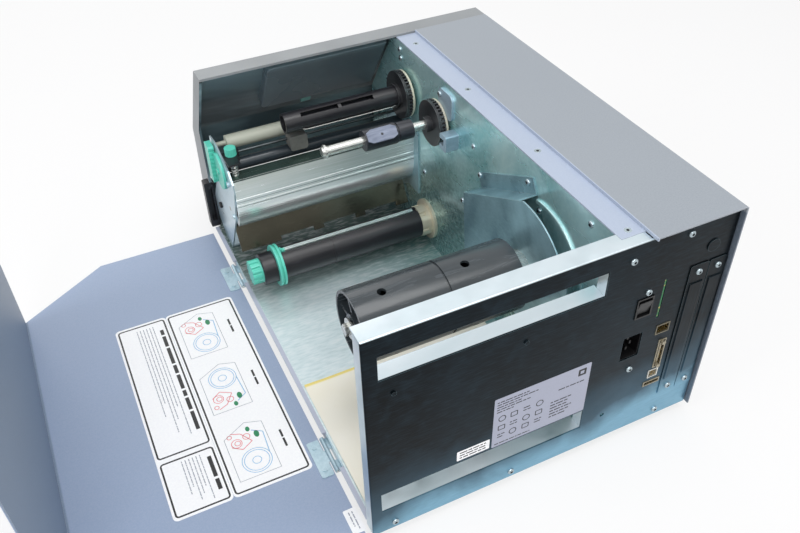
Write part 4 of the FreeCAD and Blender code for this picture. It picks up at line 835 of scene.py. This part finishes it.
# ---- liner --------------------------------------------------------------------
def make_liner():
    """Sheet of liner paper lying on the floor, lifting a little along its front edge."""
    low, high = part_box("floor_liner")
    across = 28
    along = 24
    thick = 0.0002
    width = high[0] - low[0]
    length = high[1] - low[1]

    def height(u, v):
        ripple = 0.0005 * math.sin(9 * u + 2) * math.sin(5 * v + 1)
        curl = 0.0035 * max(0.0, 1 - v / 0.10) ** 2 * (0.6 + 0.4 * math.sin(6 * u))
        return low[2] + 0.0007 + ripple + curl

    loops = []
    for i in range(across + 1):
        u = i / across
        x = low[0] + width * u
        top = [(x, low[1] + length * j / along, height(u, j / along) + thick) for j in range(along + 1)]
        loops.append(top + [(x, y, z - thick) for x, y, z in reversed(top)])
    solids = Solids()
    solids.loft(loops)
    piece = solids.piece("liner_sheet", ["paper"], "chassis", "paper", "floor_liner")


# ---- labels -------------------------------------------------------------------
FILM = 0.12                            # thickness of a label, in mm
PRINT = 0.02                           # thickness of its ink
COVER_INKS = ["label", "ink", "soft_ink", "red", "green", "blue"]
BLACK, SOFT, RED, GREEN, BLUE = range(1, 6)
REAR_INKS = ["rating", "label", "ink"]
REAR_WHITE, REAR_BLACK = 1, 2
COVER_INSIDE = 0.012                   # Z of the open cover's inner face
REAR_OUTSIDE = 0.241                   # Y of the rear panel's outer face


def dash_spans(start, end, thick, number, shortest, growth):
    """Start and end of each dash in a row; their lengths are uneven."""
    spans = []
    while start < end - thick:
        long = thick * (shortest + (number * 7 % 5) * growth)
        stop = min(start + long, end)
        spans.append((start, stop))
        start = stop + thick * 0.7
        number += 1
    return spans


class Label(Solids):
    """Generic label drawn in mm in its own plane: film, frames, bars and line shapes."""

    def film(self, outline, material=0):
        self.prism(outline, 0, FILM, material)

    def ink(self, outline, material):
        self.prism(outline, FILM, FILM + PRINT, material)

    def inked_band(self, outer, inner, material):
        self.band(outer, inner, FILM, FILM + PRINT, material)

    def frame(self, x0, x1, y0, y1, radius, width, material):
        outer = rounded(x0, x1, y0, y1, radius)
        inner = rounded(x0 + width, x1 - width, y0 + width, y1 - width, radius - width)
        self.inked_band(outer, inner, material)

    def ring(self, x, y, radius, width, material):
        self.inked_band(circle(x, y, radius), circle(x, y, radius - width), material)

    def stroke(self, points, width, material):
        for (xa, ya), (xb, yb) in zip(points, points[1:]):
            length = math.hypot(xb - xa, yb - ya)
            nx = -(yb - ya) / length * width / 2
            ny = (xb - xa) / length * width / 2
            self.ink([(xa + nx, ya + ny), (xa - nx, ya - ny), (xb - nx, yb - ny), (xb + nx, yb + ny)],
                     material)

    def bars(self, x, y0, y1, thick, material, number=0):
        """A row of plain dashes along Y."""
        for start, end in dash_spans(y0, y1, thick, number, 2.2, 1.1):
            self.ink([(x, start), (x + thick, start), (x + thick, end), (x, end)], material)

    def dashes(self, x0, x1, y, thick, material, number):
        """A row of plain dashes along X."""
        for start, end in dash_spans(x0, x1, thick, number, 1.8, 0.9):
            self.ink([(start, y), (end, y), (end, y + thick), (start, y + thick)], material)


def draw_diagram(label, x, y, flip):
    """Generic line drawing of a roll, a web path and a few marks."""
    border = [(-24, -32), (-24, 34), (20, 34), (20, -24), (-6, -38), (-24, -32)]
    label.stroke([(x + dx, y + dy) for dx, dy in border], 0.6, SOFT)
    roll = y + 15 * flip
    for radius in (16, 13.5, 5):
        label.ring(x - 4, roll, radius, 0.8, BLUE)
    label.stroke([(x - 19, roll - 4 * flip), (x - 21, y - 18 * flip), (x - 10, y - 25 * flip)], 1.0, BLUE)
    for dx, dy, radius in ((9, -14, 6.0), (8, -14, 3.4), (-3, -19, 4.2), (14, -25, 2.8)):
        label.ring(x + dx, y + dy * flip, radius, 0.8, RED)
    ribbon = [(15, -11), (5, -4), (-7, -11), (2, -25), (12, -29)]
    label.stroke([(x + dx, y + dy * flip) for dx, dy in ribbon], 0.9, RED)
    label.ink(circle(x - 14, y - 18 * flip, 2.8, squash=1.7), GREEN)
    label.ink(circle(x - 7, y - 28 * flip, 2.3, squash=1.5), GREEN)


def text_block(label, x0, x1, y0, y1, rows, ragged):
    """Rows of grey dashes, one beside the other along X."""
    pitch = (x1 - x0) / rows
    for row in range(rows):
        label.bars(x0 + row * pitch, y0, y1 - ragged * (row * 5 % 7), 1.0, SOFT, row)


def make_cover_labels():
    """White film with three framed fields on the inner face of the open cover."""
    label = Label(Matrix.Translation((0, 0, COVER_INSIDE)) @ Matrix.Scale(MM, 4))
    label.film(rounded(213, 296.8, -149, 142, 5))
    label.film(rounded(297.0, 358, -149, 142, 5))
    fields = [(215.5, 295.0, -146, 139), (299, 355.5, -146, 62.5), (299, 355.5, 68.5, 139)]
    for x0, x1, y0, y1 in fields:
        label.frame(x0, x1, y0, y1, 4, 1.9, BLACK)
    label.bars(304, -128, 40, 4.2, BLACK)
    text_block(label, 314, 337, -138, 44, 6, 9)
    label.bars(304, 80, 128, 4.2, BLACK, 2)
    text_block(label, 314, 337, 74, 134, 6, 4)
    for y, flip in ((-98, 1), (-4, -1), (92, 1)):
        draw_diagram(label, 266, y, flip)
        label.bars(227, y - 12, y + 12, 2.4, BLACK, 1)
    label.film(rounded(193.5, 207, 203.5, 232, 1.5))
    label.bars(198, 207, 228, 1.2, SOFT)
    label.bars(201.5, 207, 224, 1.2, SOFT, 3)
    label.piece("cover_labels", COVER_INKS, "media_cover", "paper")


def make_rear_labels():
    """Pale generic labels on the outer face of the rear panel."""
    facing = Matrix(((-1, 0, 0, 0), (0, 0, 1, REAR_OUTSIDE), (0, 1, 0, 0), (0, 0, 0, 1)))
    label = Label(facing @ Matrix.Scale(MM, 4))
    label.film(rounded(-64.5, 41, 72.5, 142, 1.5), 0)
    label.film(rounded(-102, -67, 74.5, 88, 1.0), REAR_WHITE)
    for row in range(5):
        long = 34 - row * 4
        label.dashes(-61.5, -61.5 + long + 14 * (row % 2), 135.5 - row * 3.4, 1.3, REAR_BLACK, row)
    for row in range(6):
        label.dashes(-1, 24 - 3 * (row % 3), 104 - row * 4.2, 1.5, REAR_BLACK, row)
    label.dashes(6, 37, 119, 1.4, REAR_BLACK, 2)
    label.dashes(-61.5, -22, 75.5, 1.2, REAR_BLACK, 1)
    marks = [(x, y) for y in (112, 99, 87) for x in (-55, -42, -28, -14)]
    for number, (x, y) in enumerate(marks):
        if number % 3 == 0:
            label.ring(x, y, 4.2, 1.0, REAR_BLACK)
        elif number % 3 == 1:
            outer = rounded(x - 4, x + 4, y - 3.4, y + 3.4, 1)
            inner = rounded(x - 3, x + 3, y - 2.4, y + 2.4, 0.6)
            label.inked_band(outer, inner, REAR_BLACK)
        else:
            label.dashes(x - 4, x + 4, y + 1.6, 1.3, REAR_BLACK, number)
            label.dashes(x - 4, x + 4, y - 2.0, 1.3, REAR_BLACK, number + 1)
    outer = rounded(27, 36, 128, 137, 0.8)
    inner = rounded(29.4, 33.6, 130.4, 134.6, 0.5)
    label.inked_band(outer, inner, REAR_BLACK)
    for row in range(3):
        label.dashes(-99, -71, 77 + row * 3.6, 1.5, REAR_BLACK, row)
    label.piece("rear_labels", REAR_INKS, "chassis", "paper")


make_screws()
make_spring()
make_core_spring()
make_liner()
make_cover_labels()
make_rear_labels()


# ---- camera -------------------------------------------------------------------
CAMERA_PLACE = Vector((0.34451, 0.65011, 0.72141))
CAMERA_AZIMUTH = math.radians(155.188)
CAMERA_ELEVATION = math.radians(40.522)
CAMERA_ROLL = math.radians(-1.470)
CAMERA_LENS = 37.42


def make_camera():
    data = bpy.data.cameras.new("camera")
    data.lens = CAMERA_LENS
    data.sensor_width = 36.0
    data.clip_end = 20.0
    back = Vector((math.sin(CAMERA_AZIMUTH) * math.cos(CAMERA_ELEVATION),
                   -math.cos(CAMERA_AZIMUTH) * math.cos(CAMERA_ELEVATION),
                   math.sin(CAMERA_ELEVATION)))
    right = Vector((0, 0, 1)).cross(back).normalized()
    up = back.cross(right)
    r = right * math.cos(CAMERA_ROLL) + up * math.sin(CAMERA_ROLL)
    u = up * math.cos(CAMERA_ROLL) - right * math.sin(CAMERA_ROLL)
    camera = bpy.data.objects.new("camera", data)
    camera.matrix_world = Matrix((
        (r.x, u.x, back.x, CAMERA_PLACE.x),
        (r.y, u.y, back.y, CAMERA_PLACE.y),
        (r.z, u.z, back.z, CAMERA_PLACE.z),
        (0, 0, 0, 1)))
    bpy.context.scene.collection.objects.link(camera)
    bpy.context.scene.camera = camera


make_camera()


# ---- light, world and floor -----------------------------------------------------
WORLD_LIGHT = 0.48                     # strength of the surroundings as a light
WORLD_SEEN = 1.0                       # and where they are seen or mirrored
FLOOR_HALF = 6.0
FLOOR_GLOW = 0.72                      # share of the floor's own white where it is seen


def area_light(name, place, target, size, watts):
    data = bpy.data.lights.new(name, "AREA")
    data.shape = "RECTANGLE"
    data.size, data.size_y = size
    data.energy = watts
    lamp = bpy.data.objects.new(name, data)
    lamp.location = place
    lamp.rotation_euler = (Vector(target) - Vector(place)).to_track_quat("-Z", "Y").to_euler()
    bpy.context.scene.collection.objects.link(lamp)


def seen_directly(nodes, links):
    """1 for camera, glossy and transmission rays."""
    path = nodes.new("ShaderNodeLightPath")
    total = path.outputs["Is Camera Ray"]
    for other in ("Is Glossy Ray", "Is Transmission Ray"):
        larger = nodes.new("ShaderNodeMath")
        larger.operation = "MAXIMUM"
        links.new(total, larger.inputs[0])
        links.new(path.outputs[other], larger.inputs[1])
        total = larger.outputs[0]
    return total


def make_world():
    world = bpy.data.worlds.new("studio")
    bpy.context.scene.world = world
    world.use_nodes = True
    nodes, links = world.node_tree.nodes, world.node_tree.links
    background = nodes["Background"]
    background.inputs["Color"].default_value = (1, 1, 1, 1)
    strength = nodes.new("ShaderNodeMapRange")
    strength.inputs["To Min"].default_value = WORLD_LIGHT
    strength.inputs["To Max"].default_value = WORLD_SEEN
    links.new(seen_directly(nodes, links), strength.inputs["Value"])
    links.new(strength.outputs["Result"], background.inputs["Strength"])


def make_floor():
    mesh = bpy.data.meshes.new("floor")
    corners = [(x * FLOOR_HALF, y * FLOOR_HALF, 0) for x, y in ((-1, -1), (1, -1), (1, 1), (-1, 1))]
    mesh.from_pydata(corners, [], [(0, 1, 2, 3)])
    floor = bpy.data.objects.new("floor", mesh)
    bpy.context.scene.collection.objects.link(floor)
    material = bpy.data.materials.new("pale_floor")
    material.use_nodes = True
    nodes, links = material.node_tree.nodes, material.node_tree.links
    shader = nodes["Principled BSDF"]
    shader.inputs["Base Color"].default_value = (0.86, 0.86, 0.87, 1)
    shader.inputs["Roughness"].default_value = 0.8
    glow = nodes.new("ShaderNodeEmission")
    glow.inputs["Color"].default_value = (1, 1, 1, 1)
    mix = nodes.new("ShaderNodeMixShader")
    share = nodes.new("ShaderNodeMath")
    share.operation = "MULTIPLY"
    share.inputs[1].default_value = FLOOR_GLOW
    links.new(seen_directly(nodes, links), share.inputs[0])
    links.new(share.outputs[0], mix.inputs["Fac"])
    links.new(shader.outputs["BSDF"], mix.inputs[1])
    links.new(glow.outputs["Emission"], mix.inputs[2])
    links.new(mix.outputs["Shader"], nodes["Material Output"].inputs["Surface"])
    mesh.materials.append(material)


make_world()
make_floor()
area_light("key", (-0.18, 0.45, 2.25), (0, 0, 0.1), (1.1, 1.1), 19.0)
area_light("rear", (0.6, 1.9, 1.75), (0, -0.1, 0.1), (1.4, 1.0), 20.0)
area_light("side", (1.9, 0.2, 1.6), (0, 0, 0.1), (1.0, 1.0), 12.0)
area_light("front", (0.2, -1.8, 1.4), (0, 0, 0.1), (1.6, 1.0), 7.0)

bpy.context.scene.view_settings.view_transform = "Standard"
